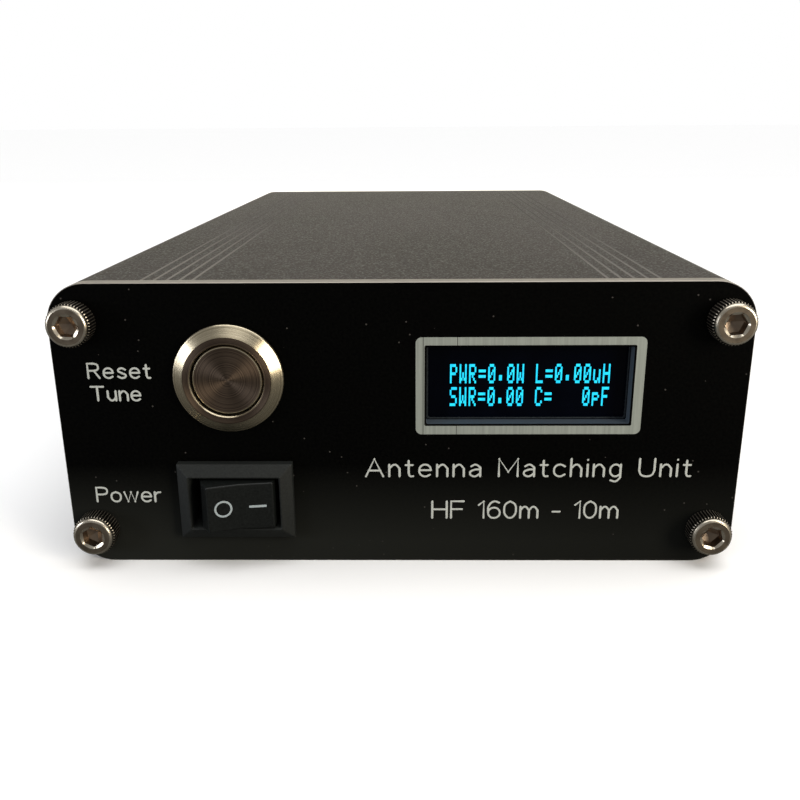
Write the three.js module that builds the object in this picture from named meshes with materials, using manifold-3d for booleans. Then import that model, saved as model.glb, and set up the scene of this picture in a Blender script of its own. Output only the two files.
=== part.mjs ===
// Automatic antenna tuner for amateur radio: a split extruded aluminium case closed by two end
// panels, with a push button, a rocker power switch and a small display on the front, coax and
// power sockets on the rear, and the relay-switched tuning network on a board inside.
// Millimetres. +X is right seen from the front, +Y runs from the front panel to the rear panel,
// +Z is up. The origin is the centre of the case's bottom face.
import * as THREE from 'three';
import { mergeVertices } from 'three/addons/utils/BufferGeometryUtils.js';
import Module from 'manifold-3d';

const wasm = await Module();
wasm.setup();

// ---- clearances -------------------------------------------------------------------------
const seatGap = 0.05; // between two faces that rest on each other
const fitGap = 0.3; // all round a screw, pin or barrel in its hole
const seamGap = 0.1; // between the two halves of the case
const past = 1; // a cutting tool runs this far beyond the faces it cuts

// ---- case and panels --------------------------------------------------------------------
const caseWidth = 88;
const caseHeight = 38;
const caseLength = 150;
const caseCorner = 5.2;
const caseWall = 1.8;
const panelThickness = 2;
const grooveCount = 5;
const groovePitch = 1.62;
const grooveWidth = 0.5;
const grooveDepth = 0.25;
const grooveGroupX = 29.05; // centre line of each group of grooves
const railDepth = 2.2; // ribs that hold the circuit board by its edges
const railHeight = 1.2;
const railRoot = 0.5; // rails sink this far into the case wall

// ---- panel screws -----------------------------------------------------------------------
const screwInsetX = 3.5; // from the case's side
const screwInsetZ = 4.87; // from the case's top or bottom
const screwRadius = 1.5;
const screwHeadRadius = 2.75;
const screwHeadHeight = 3;
const screwHeadChamfer = 0.3;
const screwGrip = 8; // length below the head
const hexAcrossFlats = 2.5;
const hexDepth = 1.6;
const bossRadius = 3.2;

// ---- push button ------------------------------------------------------------------------
const buttonInsetX = 22.37; // from the case's left side
const buttonZ = 25.91;
const flangeRadius = 7;
const flangeEdge = 0.5; // cylindrical edge of the flange
const ringRadius = 5.6; // where the cone meets the flat ring
const ringRise = 0.95; // height of the cone
const barrelRadius = 5.95;
const barrelLength = 14;
const capRadius = 4.4;
const capGap = 0.27;
const capRecess = 0.35;
const capThickness = 2;
const capEdge = 0.12; // chamfer round the cap's face
const capWellDepth = 7.5; // from the ring's face to the spring's seat
const buttonTravel = 1.2;
const stemRadius = 2.1;
const gasketThickness = 0.3;
const nutThickness = 2.5;
const nutAcrossFlats = 14;
const springWire = 0.25; // wire radius
const springTurns = 3.5;
const buttonBaseLength = 4;
const terminalLength = 5;
const terminalThickness = 0.5;
const terminalWidth = 2.2;
const terminalX = 2.5; // from the button's axis

// ---- rocker switch ----------------------------------------------------------------------
const rockerInsetX = 22.4; // from the case's left side
const rockerZ = 9.3;
const bezelWidth = 15;
const bezelHeight = 10.4;
const bezelEdge = 1.25; // height of the bezel's outer wall
const bezelRise = 0.9; // from the outer wall to the inner ridge
const bezelSlope = 1.55; // width of the sloping frame
const lipWidth = 0.2;
const lipDepth = 0.4;
const housingWall = 0.95;
const housingDepth = 12;
const housingFloor = 1.2;
const leverHalfTip = 4.24; // pivot to end, along the rocker's face
const leverHeight = 4.67; // pivot to the face's ends
const leverDish = 0.37; // how far the middle of the face lies below its ends
const leverShoulder = 2.6;
const leverHalfShoulder = 4.95;
const leverHalfWaist = 5.2;
const leverSkirt = 1; // depth of the lever's ends behind the pivot
const postHalfWidth = 2; // post behind the lever that holds the plunger
const postShoulder = 2;
const postReach = 4.4;
const leverSideGap = 0.25;
const leverTilt = 12.4; // degrees from the middle position, right side pressed in
const pivotDepth = 1.2; // behind the panel's face
const pivotRadius = 1.1;
const plungerRadius = 0.95;
const plungerReach = 6; // from the pivot to the plunger's tip
const plungerBack = 0.8; // from the pivot to the plunger's hidden end
const plungerTip = 0.5; // height of the plunger's tapered tip
const bladeGap = 1; // from the plunger's tip to the contact blade
const bladeTilt = 8; // degrees, the contact blade leans the other way
const bladeThickness = 0.5;
const bladeEndGap = 1.25; // from the blade's ends to the housing's walls
const tabWidth = 4.2;
const tabThickness = 0.8;
const tabLength = 8;
const tabInset = 1.4; // outer terminal's centre from the cavity's wall
const tabStagger = 1; // the outer terminal starts this much lower

// ---- display ----------------------------------------------------------------------------
const windowInsetX = 27.67; // window centre from the case's right side
const windowZ = 24.66;
const windowWidth = 26.4;
const windowHeight = 10.56;
const windowCorner = 0.5;
const glassMarginX = 1.8; // hidden behind the panel beside the window
const glassMarginZ = 0.47;
const glassThickness = 1.4;
const displayBoardMarginX = 4; // board beyond the glass
const displayBoardMarginZ = 0.25;
const displayBoardThickness = 1.2;
const headerWidth = 2.5;
const headerLength = 10.2;
const headerInset = 2; // header's centre from the board's end
const headerDepth = 2.6;

// ---- rear sockets -----------------------------------------------------------------------
const coaxX = 24;
const rearZ = 19;
const coaxThreadRadius = 7.9;
const coaxFlangeRim = 2.1; // flange beyond the thread
const coaxFlangeThickness = 2.5;
const coaxReach = 11;
const coaxInnerLength = 9;
const coaxWall = 1.6;
const coaxInsulatorRecess = 6.5;
const coaxContactRadius = 2.8;
const coaxContactBore = 2;
const coaxContactBoreDepth = 10;
const coaxContactTail = 4;
const coaxRimChamfer = 0.5;
const insulatorGap = 0.1; // insulator to the metal round it and in it
const coaxNutRim = 1.6; // nut beyond the thread, at its flats
const powerX = 0;
const powerFlangeRadius = 6.5;
const powerFlangeThickness = 2;
const powerBarrelRadius = 5;
const powerBarrelLength = 12;
const powerBoreRadius = 3;
const powerBoreDepth = 10;
const powerPinRadius = 1;
const powerPinRecess = 1;
const powerRimChamfer = 0.6;
const powerPinTipRadius = 0.7;
const powerPinTaper = 0.5; // length of the pin's tapered tip
const powerNutAcrossFlats = 14;

// ---- circuit board and tuning network ---------------------------------------------------
const boardLift = 0.93; // underside of the board above the lower screw bosses
const boardThickness = 1.6;
const boardFrontGap = 29; // clear depth behind the front panel
const boardRearGap = 22; // clear depth ahead of the rear panel
const boardSlotGap = 0.4;
const relaySize = new THREE.Vector3(20, 10.2, 11.5);
const relayPitch = 13;
const relayRows = 4;
const relayFromWall = 15.4;
const relayChamfer = 0.6;
const coilCount = 5;
const coilRadius = 9;
const coilBore = 4.2;
const coilWidth = 7;
const coilPitch = 10.5;
const coilChamfer = 1.5;
const rowStart = 8; // first row's centre from the board's front edge
const rearMargin = 4; // last row's distance from the board's rear edge
const chipGap = 1; // from a chip's side to the coils
const chipSize = new THREE.Vector3(7.5, 35, 3.8);
const driverSize = new THREE.Vector3(7.5, 23, 3.8);
const transformerSize = new THREE.Vector3(14, 14, 8);
const transformerBore = 2.6;
const regulatorSize = new THREE.Vector3(10, 4.6, 15);
const capacitorRadius = 5;
const capacitorHeight = 13;

// ---- worked out from the sizes above ----------------------------------------------------
const frontFace = -caseLength / 2 - panelThickness;
const rearFace = -frontFace;
const screwX = caseWidth / 2 - screwInsetX;
const screwZs = [screwInsetZ, caseHeight - screwInsetZ];
const buttonX = buttonInsetX - caseWidth / 2;
const rockerX = rockerInsetX - caseWidth / 2;
const windowX = caseWidth / 2 - windowInsetX;
const cavityWidth = bezelWidth - 2 * bezelSlope - 2 * lipWidth;
const cavityHeight = bezelHeight - 2 * bezelSlope - 2 * lipWidth;
const housingWidth = cavityWidth + 2 * housingWall;
const housingHeight = cavityHeight + 2 * housingWall;
const coaxFlangeRadius = coaxThreadRadius + coaxFlangeRim;
const coaxNutAcrossFlats = 2 * (coaxThreadRadius + coaxNutRim);
const ringFace = -(gasketThickness + 2 * seatGap + flangeEdge + ringRise);
const glassWidth = windowWidth + 2 * glassMarginX;
const glassHeight = windowHeight + 2 * glassMarginZ;
const displayBoardWidth = glassWidth + 2 * displayBoardMarginX;
const displayBoardHeight = glassHeight + 2 * displayBoardMarginZ;
const boardZ = screwInsetZ + bossRadius + boardLift;
const boardTop = boardZ + boardThickness;
const boardFront = frontFace + panelThickness + boardFrontGap;
const boardRear = rearFace - panelThickness - boardRearGap;

// ---- finishes ---------------------------------------------------------------------------
const finishes = {
  blackAnodised: { color: 0x17171a, roughness: 0.5, metalness: 0.6 },
  greyAnodised: { color: 0x4a4745, roughness: 0.55, metalness: 0.7 },
  steel: { color: 0xb9b4aa, roughness: 0.35, metalness: 1 },
  champagne: { color: 0xc9b98c, roughness: 0.3, metalness: 1 },
  turnedSteel: { color: 0x6a5f55, roughness: 0.3, metalness: 1 },
  blackRubber: { color: 0x151515, roughness: 0.9, metalness: 0 },
  blackPlastic: { color: 0x2c2f2e, roughness: 0.55, metalness: 0 },
  brass: { color: 0xc8a24c, roughness: 0.35, metalness: 1 },
  nickel: { color: 0xc4c2bb, roughness: 0.25, metalness: 1 },
  displayGlass: { color: 0x050608, roughness: 0.08, metalness: 0 },
  blueBoard: { color: 0x123a6b, roughness: 0.5, metalness: 0 },
  greenBoard: { color: 0x145232, roughness: 0.5, metalness: 0 },
  whiteInsulator: { color: 0xece8de, roughness: 0.45, metalness: 0 },
  relayCase: { color: 0xd8d8d2, roughness: 0.4, metalness: 0 },
  woundCore: { color: 0xa3512a, roughness: 0.4, metalness: 0.4 },
  ferrite: { color: 0x3a3836, roughness: 0.7, metalness: 0 },
  chipPlastic: { color: 0x1b1b1d, roughness: 0.6, metalness: 0 },
  capacitorSleeve: { color: 0x20242c, roughness: 0.4, metalness: 0 },
};

// ---- solids -----------------------------------------------------------------------------
// A closed geometry becomes a solid once its shared vertices are merged and the slivers at a
// turned shape's poles are dropped.
function solidOf(geometry) {
  const bare = geometry.clone();
  bare.deleteAttribute('normal');
  bare.deleteAttribute('uv');
  const welded = mergeVertices(bare, 1e-4);
  const triangles = [];
  for (let i = 0; i < welded.index.count; i += 3) {
    const corners = [0, 1, 2].map((k) => welded.index.getX(i + k));
    if (new Set(corners).size === 3) triangles.push(...corners);
  }
  const vertProperties = new Float32Array(welded.attributes.position.array);
  const triVerts = new Uint32Array(triangles);
  return new wasm.Manifold(new wasm.Mesh({ numProp: 3, vertProperties, triVerts }));
}

function geometryOf(solid) {
  const { vertProperties, triVerts } = solid.getMesh();
  const geometry = new THREE.BufferGeometry();
  geometry.setAttribute('position', new THREE.BufferAttribute(new Float32Array(vertProperties), 3));
  geometry.setIndex(new THREE.BufferAttribute(new Uint32Array(triVerts), 1));
  geometry.computeVertexNormals();
  return geometry;
}

function cut(body, ...tools) {
  return geometryOf(tools.reduce((left, tool) => left.subtract(solidOf(tool)), solidOf(body)));
}

function join(body, ...others) {
  return geometryOf(others.reduce((whole, other) => whole.add(solidOf(other)), solidOf(body)));
}

function common(body, tool) {
  return geometryOf(solidOf(body).intersect(solidOf(tool)));
}

// A shape turned about the Y axis from [radius, y] points; the outline is closed for a ring.
function turned(outline, segments = 32) {
  const area = outline.reduce((sum, [r, y], i) => {
    const [nextR, nextY] = outline[(i + 1) % outline.length];
    return sum + r * nextY - nextR * y;
  }, 0);
  const ordered = area > 0 ? [...outline] : [...outline].reverse();
  const solidRod = outline.some(([r]) => r === 0);
  if (solidRod) {
    while (ordered[0][0] !== 0 || ordered[ordered.length - 1][0] !== 0) ordered.push(ordered.shift());
  } else {
    ordered.push(ordered[0]);
  }
  const points = ordered.map(([r, y]) => new THREE.Vector2(r, y));
  return geometryOf(solidOf(new THREE.LatheGeometry(points, segments)));
}

function rod(radius, y0, y1, segments = 24) {
  return turned([[0, y0], [radius, y0], [radius, y1], [0, y1]], segments);
}

function box(x0, x1, y0, y1, z0, z1) {
  const geometry = new THREE.BoxGeometry(x1 - x0, y1 - y0, z1 - z0);
  return geometry.translate((x0 + x1) / 2, (y0 + y1) / 2, (z0 + z1) / 2);
}

function centredBox(width, height, y0, y1) {
  return box(-width / 2, width / 2, y0, y1, -height / 2, height / 2);
}

// A flat shape drawn in X and Z, made as thick as y0 to y1.
function slab(shape, y0, y1, curveSegments = 8) {
  const geometry = new THREE.ExtrudeGeometry(shape, { depth: y1 - y0, bevelEnabled: false, curveSegments });
  return geometry.rotateX(Math.PI / 2).translate(0, y1, 0);
}

function roundedRectangle(width, height, radius, centreZ) {
  const [right, low, high] = [width / 2, centreZ - height / 2, centreZ + height / 2];
  const shape = new THREE.Shape();
  shape.moveTo(radius - right, low);
  shape.lineTo(right - radius, low);
  shape.absarc(right - radius, low + radius, radius, -Math.PI / 2, 0);
  shape.lineTo(right, high - radius);
  shape.absarc(right - radius, high - radius, radius, 0, Math.PI / 2);
  shape.lineTo(radius - right, high);
  shape.absarc(radius - right, high - radius, radius, Math.PI / 2, Math.PI);
  shape.lineTo(-right, low + radius);
  shape.absarc(radius - right, low + radius, radius, Math.PI, 1.5 * Math.PI);
  return shape;
}

function hexagonRod(acrossFlats, y0, y1) {
  return rod(acrossFlats / Math.sqrt(3), y0, y1, 6);
}

function hexagonNut(acrossFlats, boreRadius, y0, y1) {
  return cut(hexagonRod(acrossFlats, y0, y1), rod(boreRadius, y0 - past, y1 + past));
}

function part(name, geometry, finish) {
  const { color, roughness, metalness } = finishes[finish];
  const mesh = new THREE.Mesh(geometry, new THREE.MeshStandardMaterial({ color, roughness, metalness }));
  mesh.name = name;
  return mesh;
}

function assembly(x, y, z, ...pieces) {
  const group = new THREE.Group();
  group.position.set(x, y, z);
  group.add(...pieces);
  return group;
}

// ---- case -------------------------------------------------------------------------------
function screwPlaces() {
  return screwZs.flatMap((z) => [-screwX, screwX].map((x) => [x, z]));
}

function screwHoles(y0, y1) {
  const hole = () => rod(screwRadius + fitGap, y0 - past, y1 + past, 16);
  return screwPlaces().map(([x, z]) => hole().translate(x, 0, z));
}

function caseTube() {
  const half = caseLength / 2;
  const outer = slab(roundedRectangle(caseWidth, caseHeight, caseCorner, caseHeight / 2), -half, half);
  const innerShape = roundedRectangle(
    caseWidth - 2 * caseWall, caseHeight - 2 * caseWall, caseCorner - caseWall, caseHeight / 2);
  const inner = slab(innerShape, -half - past, half + past);
  const bosses = screwPlaces().map(([x, z]) => rod(bossRadius, -half, half).translate(x, 0, z));
  const channel = common(join(cut(outer, inner), ...bosses), outer);
  return cut(channel, ...screwHoles(-half, half), ...grooveTools(half));
}

function grooveTools(half) {
  const tools = [];
  for (const side of [-1, 1]) {
    for (let i = 0; i < grooveCount; i += 1) {
      const x = side * grooveGroupX + (i - (grooveCount - 1) / 2) * groovePitch;
      const [x0, x1] = [x - grooveWidth / 2, x + grooveWidth / 2];
      tools.push(box(x0, x1, -half - past, half + past, caseHeight - grooveDepth, caseHeight + past));
    }
  }
  return tools;
}

function boardRails() {
  const half = caseLength / 2;
  const inner = caseWidth / 2 - caseWall;
  const heights = [boardZ - boardSlotGap - railHeight, boardTop + boardSlotGap];
  return heights.flatMap((z) => [
    box(-inner - railRoot, -inner + railDepth, -half, half, z, z + railHeight),
    box(inner - railDepth, inner + railRoot, -half, half, z, z + railHeight),
  ]);
}

function caseShells() {
  const tube = caseTube();
  const [x, y] = [caseWidth, caseLength];
  const seam = caseHeight / 2;
  const lower = common(tube, box(-x, x, -y, y, -past, seam - seamGap / 2));
  const upper = common(tube, box(-x, x, -y, y, seam + seamGap / 2, caseHeight + past));
  return [
    part('top_shell', upper, 'greyAnodised'),
    part('bottom_shell', join(lower, ...boardRails()), 'greyAnodised'),
  ];
}

function panelBlank(y0) {
  const shape = roundedRectangle(caseWidth, caseHeight, caseCorner, caseHeight / 2);
  const blank = slab(shape, y0, y0 + panelThickness);
  return cut(blank, ...screwHoles(y0, y0 + panelThickness));
}

function frontPanel() {
  const y0 = frontFace;
  const [low, high] = [y0 - past, y0 + panelThickness + past];
  const button = rod(barrelRadius + fitGap, low, high, 32).translate(buttonX, 0, buttonZ);
  const rocker = centredBox(housingWidth + 2 * fitGap, housingHeight + 2 * fitGap, low, high);
  rocker.translate(rockerX, 0, rockerZ);
  const display = slab(roundedRectangle(windowWidth, windowHeight, windowCorner, windowZ), low, high, 3);
  display.translate(windowX, 0, 0);
  return part('front_panel', cut(panelBlank(y0), button, rocker, display), 'blackAnodised');
}

function rearPanel() {
  const y0 = caseLength / 2;
  const [low, high] = [y0 - past, y0 + panelThickness + past];
  const coaxHole = () => rod(coaxThreadRadius + fitGap, low, high, 32);
  const coax = [-coaxX, coaxX].map((x) => coaxHole().translate(x, 0, rearZ));
  const power = rod(powerBarrelRadius + fitGap, low, high, 32).translate(powerX, 0, rearZ);
  return part('rear_panel', cut(panelBlank(y0), ...coax, power), 'blackAnodised');
}

// A socket-cap screw whose head rests on the face at y = 0 and whose shank runs to +Y.
function capScrew() {
  const rim = screwHeadRadius - screwHeadChamfer;
  const head = -screwHeadHeight - seatGap;
  const outline = [
    [0, head], [rim, head], [screwHeadRadius, head + screwHeadChamfer], [screwHeadRadius, -seatGap],
    [screwRadius, -seatGap], [screwRadius, screwGrip], [0, screwGrip],
  ];
  return cut(turned(outline, 20), hexagonRod(hexAcrossFlats, head - past, head + hexDepth));
}

function screwSet(prefix, facesRear) {
  return screwPlaces().map(([x, z], i) => {
    const screw = part(`${prefix}_${i + 1}`, capScrew(), 'steel');
    screw.position.set(x, facesRear ? rearFace : frontFace, z);
    screw.rotation.z = facesRear ? Math.PI : 0;
    return screw;
  });
}

// ---- push button: y = 0 is the panel's face, its barrel runs to +Y -------------------------
function buttonBody() {
  const back = -(gasketThickness + 2 * seatGap);
  const seat = ringFace + capWellDepth;
  const well = capRadius + capGap;
  const outline = [
    [well, ringFace], [ringRadius, ringFace], [flangeRadius, ringFace + ringRise], [flangeRadius, back],
    [barrelRadius, back], [barrelRadius, barrelLength], [stemRadius + fitGap, barrelLength],
    [stemRadius + fitGap, seat], [well, seat],
  ];
  return turned(outline, 48);
}

function buttonCap() {
  const top = ringFace + capRecess;
  const under = top + capThickness;
  const outline = [
    [0, top], [capRadius - capEdge, top], [capRadius, top + capEdge], [capRadius, under],
    [stemRadius, under], [stemRadius, barrelLength - buttonTravel], [0, barrelLength - buttonTravel],
  ];
  return turned(outline, 48);
}

function buttonSpring() {
  const from = ringFace + capRecess + capThickness + springWire + seatGap;
  const to = ringFace + capWellDepth - springWire - seatGap;
  const radius = (stemRadius + capRadius + capGap) / 2;
  const steps = 10 * springTurns;
  const points = [];
  for (let i = 0; i <= steps; i += 1) {
    const turn = (2 * Math.PI * springTurns * i) / steps;
    const y = from + ((to - from) * i) / steps;
    points.push(new THREE.Vector3(radius * Math.cos(turn), y, radius * Math.sin(turn)));
  }
  const section = new THREE.Shape();
  section.absarc(0, 0, springWire, 0, 2 * Math.PI);
  const extrudePath = new THREE.CatmullRomCurve3(points);
  return new THREE.ExtrudeGeometry(section, { steps: Math.round(steps), extrudePath, curveSegments: 3 });
}

function pushButton() {
  const gasket = turned([
    [barrelRadius + fitGap, -seatGap], [barrelRadius + fitGap, -seatGap - gasketThickness],
    [flangeRadius - fitGap, -seatGap - gasketThickness], [flangeRadius - fitGap, -seatGap],
  ]);
  const nutFront = panelThickness + seatGap;
  const nut = hexagonNut(nutAcrossFlats, barrelRadius + fitGap, nutFront, nutFront + nutThickness);
  const baseFront = barrelLength + seatGap;
  const baseBack = baseFront + buttonBaseLength;
  const bladeFront = baseBack + seatGap;
  const blade = () => centredBox(terminalThickness, terminalWidth, bladeFront, bladeFront + terminalLength);
  return assembly(buttonX, frontFace, buttonZ,
    part('button_body', buttonBody(), 'champagne'),
    part('button_cap', buttonCap(), 'turnedSteel'),
    part('button_spring', buttonSpring(), 'steel'),
    part('button_gasket', gasket, 'blackRubber'),
    part('button_nut', nut, 'nickel'),
    part('button_base', rod(barrelRadius - fitGap, baseFront, baseBack), 'blackPlastic'),
    part('button_terminal_1', blade().translate(-terminalX, 0, 0), 'brass'),
    part('button_terminal_2', blade().translate(terminalX, 0, 0), 'brass'));
}

// ---- rocker switch: y = 0 is the panel's face, its housing runs to +Y ------------------------
// A block whose front rectangle and back rectangle differ, as a frame's sloping face does.
function taper(frontWidth, frontHeight, backWidth, backHeight, y0, y1) {
  const geometry = new THREE.BoxGeometry(1, 1, 1);
  const places = geometry.attributes.position;
  for (let i = 0; i < places.count; i += 1) {
    const front = places.getY(i) < 0;
    const [width, height] = front ? [frontWidth, frontHeight] : [backWidth, backHeight];
    places.setXYZ(i, places.getX(i) * width, front ? y0 : y1, places.getZ(i) * height);
  }
  return geometry;
}

function rockerHousing() {
  const ridge = -bezelEdge - bezelRise;
  const [ridgeWidth, ridgeHeight] = [bezelWidth - 2 * bezelSlope, bezelHeight - 2 * bezelSlope];
  const floor = housingDepth - housingFloor;
  const body = join(
    taper(ridgeWidth, ridgeHeight, bezelWidth, bezelHeight, ridge, -bezelEdge),
    centredBox(bezelWidth, bezelHeight, -bezelEdge, -seatGap),
    centredBox(housingWidth, housingHeight, -seatGap, housingDepth));
  const pivotBore = rod(pivotRadius + fitGap, -housingHeight, housingHeight, 16).rotateX(Math.PI / 2);
  const [slotWidth, slotHeight] = [tabThickness + 2 * fitGap, tabWidth + 2 * fitGap];
  const slots = rockerTabPlaces().map((x) => {
    const slot = centredBox(slotWidth, slotHeight, floor - past, housingDepth + past);
    return slot.translate(x, 0, 0);
  });
  return cut(body,
    taper(ridgeWidth, ridgeHeight, cavityWidth, cavityHeight, ridge, ridge + lipDepth),
    centredBox(cavityWidth, cavityHeight, ridge, floor),
    pivotBore.translate(0, pivotDepth, 0), ...slots);
}

function rockerTabPlaces() {
  return [0, -cavityWidth / 2 + tabInset];
}

// The lever's outline in X and Y about its pivot, in its middle position.
function leverOutline() {
  const shape = new THREE.Shape();
  shape.moveTo(-leverHalfTip, -leverHeight);
  shape.lineTo(0, leverDish - leverHeight);
  shape.lineTo(leverHalfTip, -leverHeight);
  shape.lineTo(leverHalfShoulder, -leverShoulder);
  shape.lineTo(leverHalfWaist, 0);
  shape.lineTo(leverHalfWaist, leverSkirt);
  shape.lineTo(postHalfWidth, postShoulder);
  shape.lineTo(postHalfWidth, postReach);
  shape.lineTo(-postHalfWidth, postReach);
  shape.lineTo(-postHalfWidth, postShoulder);
  shape.lineTo(-leverHalfWaist, leverSkirt);
  shape.lineTo(-leverHalfWaist, 0);
  shape.lineTo(-leverHalfShoulder, -leverShoulder);
  return shape;
}

function rockerLever() {
  const half = cavityHeight / 2 - leverSideGap;
  const block = new THREE.ExtrudeGeometry(leverOutline(), { depth: 2 * half, bevelEnabled: false });
  const stub = rod(pivotRadius, -half - housingWall, half + housingWall, 16).rotateX(Math.PI / 2);
  const bore = rod(plungerRadius + fitGap, 0, postReach + past, 16);
  return cut(join(block.translate(0, 0, -half), stub), bore);
}

function rockerPlunger() {
  const taperEnd = [plungerRadius - plungerTip, plungerReach];
  return turned([
    [0, plungerBack], [plungerRadius, plungerBack], [plungerRadius, plungerReach - plungerTip],
    taperEnd, [0, plungerReach],
  ], 16);
}

function rockerSwitch() {
  const bladeY = pivotDepth + plungerReach + bladeGap;
  const floor = housingDepth - housingFloor;
  const tabFront = bladeY + bladeThickness + fitGap;
  const tabFronts = [tabFront, tabFront + tabStagger];
  const tabs = rockerTabPlaces().map((x, i) => {
    const tab = centredBox(tabThickness, tabWidth, tabFronts[i], floor + housingFloor + tabLength);
    return part(`rocker_terminal_${i + 1}`, tab.translate(x, 0, 0), 'brass');
  });
  const lever = assembly(0, pivotDepth, 0,
    part('rocker_lever', rockerLever(), 'blackPlastic'),
    part('rocker_plunger', rockerPlunger(), 'nickel'));
  lever.rotation.z = THREE.MathUtils.degToRad(leverTilt);
  const blade = centredBox(cavityWidth - 2 * bladeEndGap, tabWidth, 0, bladeThickness);
  const contact = assembly(0, bladeY, 0, part('rocker_contact', blade, 'brass'));
  contact.rotation.z = THREE.MathUtils.degToRad(-bladeTilt);
  return assembly(rockerX, frontFace, rockerZ,
    part('rocker_housing', rockerHousing(), 'blackPlastic'), lever, contact, ...tabs);
}

// ---- display: y = 0 is the panel's back face ----------------------------------------------
function display() {
  const glassBack = seatGap + glassThickness;
  const boardY = glassBack + seatGap;
  const boardBack = boardY + displayBoardThickness;
  const headerX = -displayBoardWidth / 2 + headerInset;
  const glass = centredBox(glassWidth, glassHeight, seatGap, glassBack);
  const board = centredBox(displayBoardWidth, displayBoardHeight, boardY, boardBack);
  const header = centredBox(headerWidth, headerLength, boardBack + seatGap, boardBack + headerDepth);
  return assembly(windowX, frontFace + panelThickness, windowZ,
    part('display_glass', glass, 'displayGlass'),
    part('display_board', board, 'blueBoard'),
    part('display_header', header.translate(headerX, 0, 0), 'chipPlastic'));
}

// ---- rear sockets: y = 0 is the panel's outer face, and the socket opens to -Y ----------------
function coaxSocket(name, x) {
  const flange = -seatGap - coaxFlangeThickness;
  const rim = flange - coaxReach;
  const bore = coaxThreadRadius - coaxWall;
  const body = turned([
    [bore, rim], [coaxThreadRadius - coaxRimChamfer, rim], [coaxThreadRadius, rim + coaxRimChamfer],
    [coaxThreadRadius, flange], [coaxFlangeRadius, flange], [coaxFlangeRadius, -seatGap],
    [coaxThreadRadius, -seatGap], [coaxThreadRadius, coaxInnerLength], [bore, coaxInnerLength],
  ], 40);
  const face = rim + coaxInsulatorRecess;
  const [inside, outside] = [coaxContactRadius + insulatorGap, bore - insulatorGap];
  const insulator = turned([
    [inside, face], [outside, face], [outside, coaxInnerLength], [inside, coaxInnerLength],
  ]);
  const tail = coaxInnerLength + coaxContactTail;
  const boreEnd = face + coaxContactBoreDepth;
  const contact = turned([
    [0, boreEnd], [coaxContactBore, boreEnd], [coaxContactBore, face], [coaxContactRadius, face],
    [coaxContactRadius, tail], [0, tail],
  ], 24);
  const nutFront = panelThickness + seatGap;
  const nut = hexagonNut(coaxNutAcrossFlats, coaxThreadRadius + fitGap, nutFront, nutFront + nutThickness);
  const socket = assembly(x, rearFace, rearZ,
    part(`${name}_socket`, body, 'nickel'),
    part(`${name}_socket_insulator`, insulator, 'whiteInsulator'),
    part(`${name}_socket_contact`, contact, 'brass'),
    part(`${name}_socket_nut`, nut, 'nickel'));
  socket.rotation.z = Math.PI;
  return socket;
}

function powerSocket() {
  const front = -seatGap - powerFlangeThickness;
  const floor = front + powerBoreDepth;
  const pinHole = powerPinRadius + fitGap;
  const body = turned([
    [powerBoreRadius, front], [powerFlangeRadius - powerRimChamfer, front],
    [powerFlangeRadius, front + powerRimChamfer], [powerFlangeRadius, -seatGap],
    [powerBarrelRadius, -seatGap], [powerBarrelRadius, powerBarrelLength],
    [pinHole, powerBarrelLength], [pinHole, floor], [powerBoreRadius, floor],
  ], 32);
  const pinFront = front + powerPinRecess;
  const pinBack = powerBarrelLength + terminalLength;
  const pin = turned([
    [0, pinFront], [powerPinTipRadius, pinFront], [powerPinRadius, pinFront + powerPinTaper],
    [powerPinRadius, pinBack], [0, pinBack],
  ], 16);
  const nutFront = panelThickness + seatGap;
  const nutBore = powerBarrelRadius + fitGap;
  const nut = hexagonNut(powerNutAcrossFlats, nutBore, nutFront, nutFront + nutThickness);
  const socket = assembly(powerX, rearFace, rearZ,
    part('power_socket', body, 'blackPlastic'),
    part('power_socket_pin', pin, 'brass'),
    part('power_socket_nut', nut, 'nickel'));
  socket.rotation.z = Math.PI;
  return socket;
}

// ---- circuit board and tuning network, z = 0 is the board's top face ---------------------------
function block(size) {
  return box(-size.x / 2, size.x / 2, -size.y / 2, size.y / 2, seatGap, seatGap + size.z);
}

function relay() {
  const shape = new THREE.Shape();
  const [right, top, chamfer] = [relaySize.x / 2, seatGap + relaySize.z, relayChamfer];
  shape.moveTo(-right, seatGap);
  shape.lineTo(right, seatGap);
  shape.lineTo(right, top - chamfer);
  shape.lineTo(right - chamfer, top);
  shape.lineTo(chamfer - right, top);
  shape.lineTo(-right, top - chamfer);
  return slab(shape, -relaySize.y / 2, relaySize.y / 2);
}

// A ring core wound all round, standing on edge with its bore along Y.
function woundCoil() {
  const [half, chamfer] = [coilWidth / 2, coilChamfer];
  const ring = turned([
    [coilBore, -half + chamfer], [coilBore + chamfer, -half], [coilRadius - chamfer, -half],
    [coilRadius, -half + chamfer], [coilRadius, half - chamfer], [coilRadius - chamfer, half],
    [coilBore + chamfer, half], [coilBore, half - chamfer],
  ], 24);
  return ring.translate(0, 0, coilRadius + fitGap);
}

function bridgeTransformer() {
  const core = block(transformerSize);
  const height = seatGap + transformerSize.z / 2;
  const bores = [-1, 1].map((side) => {
    const bore = rod(transformerBore / 2, -transformerSize.y, transformerSize.y, 16);
    return bore.translate((side * transformerSize.x) / 4, 0, height);
  });
  return cut(core, ...bores);
}

function capacitor() {
  const can = rod(capacitorRadius, seatGap, seatGap + capacitorHeight, 24);
  return can.rotateX(Math.PI / 2);
}

function placed(mesh, x, y) {
  mesh.position.set(x, y, boardTop);
  return mesh;
}

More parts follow.
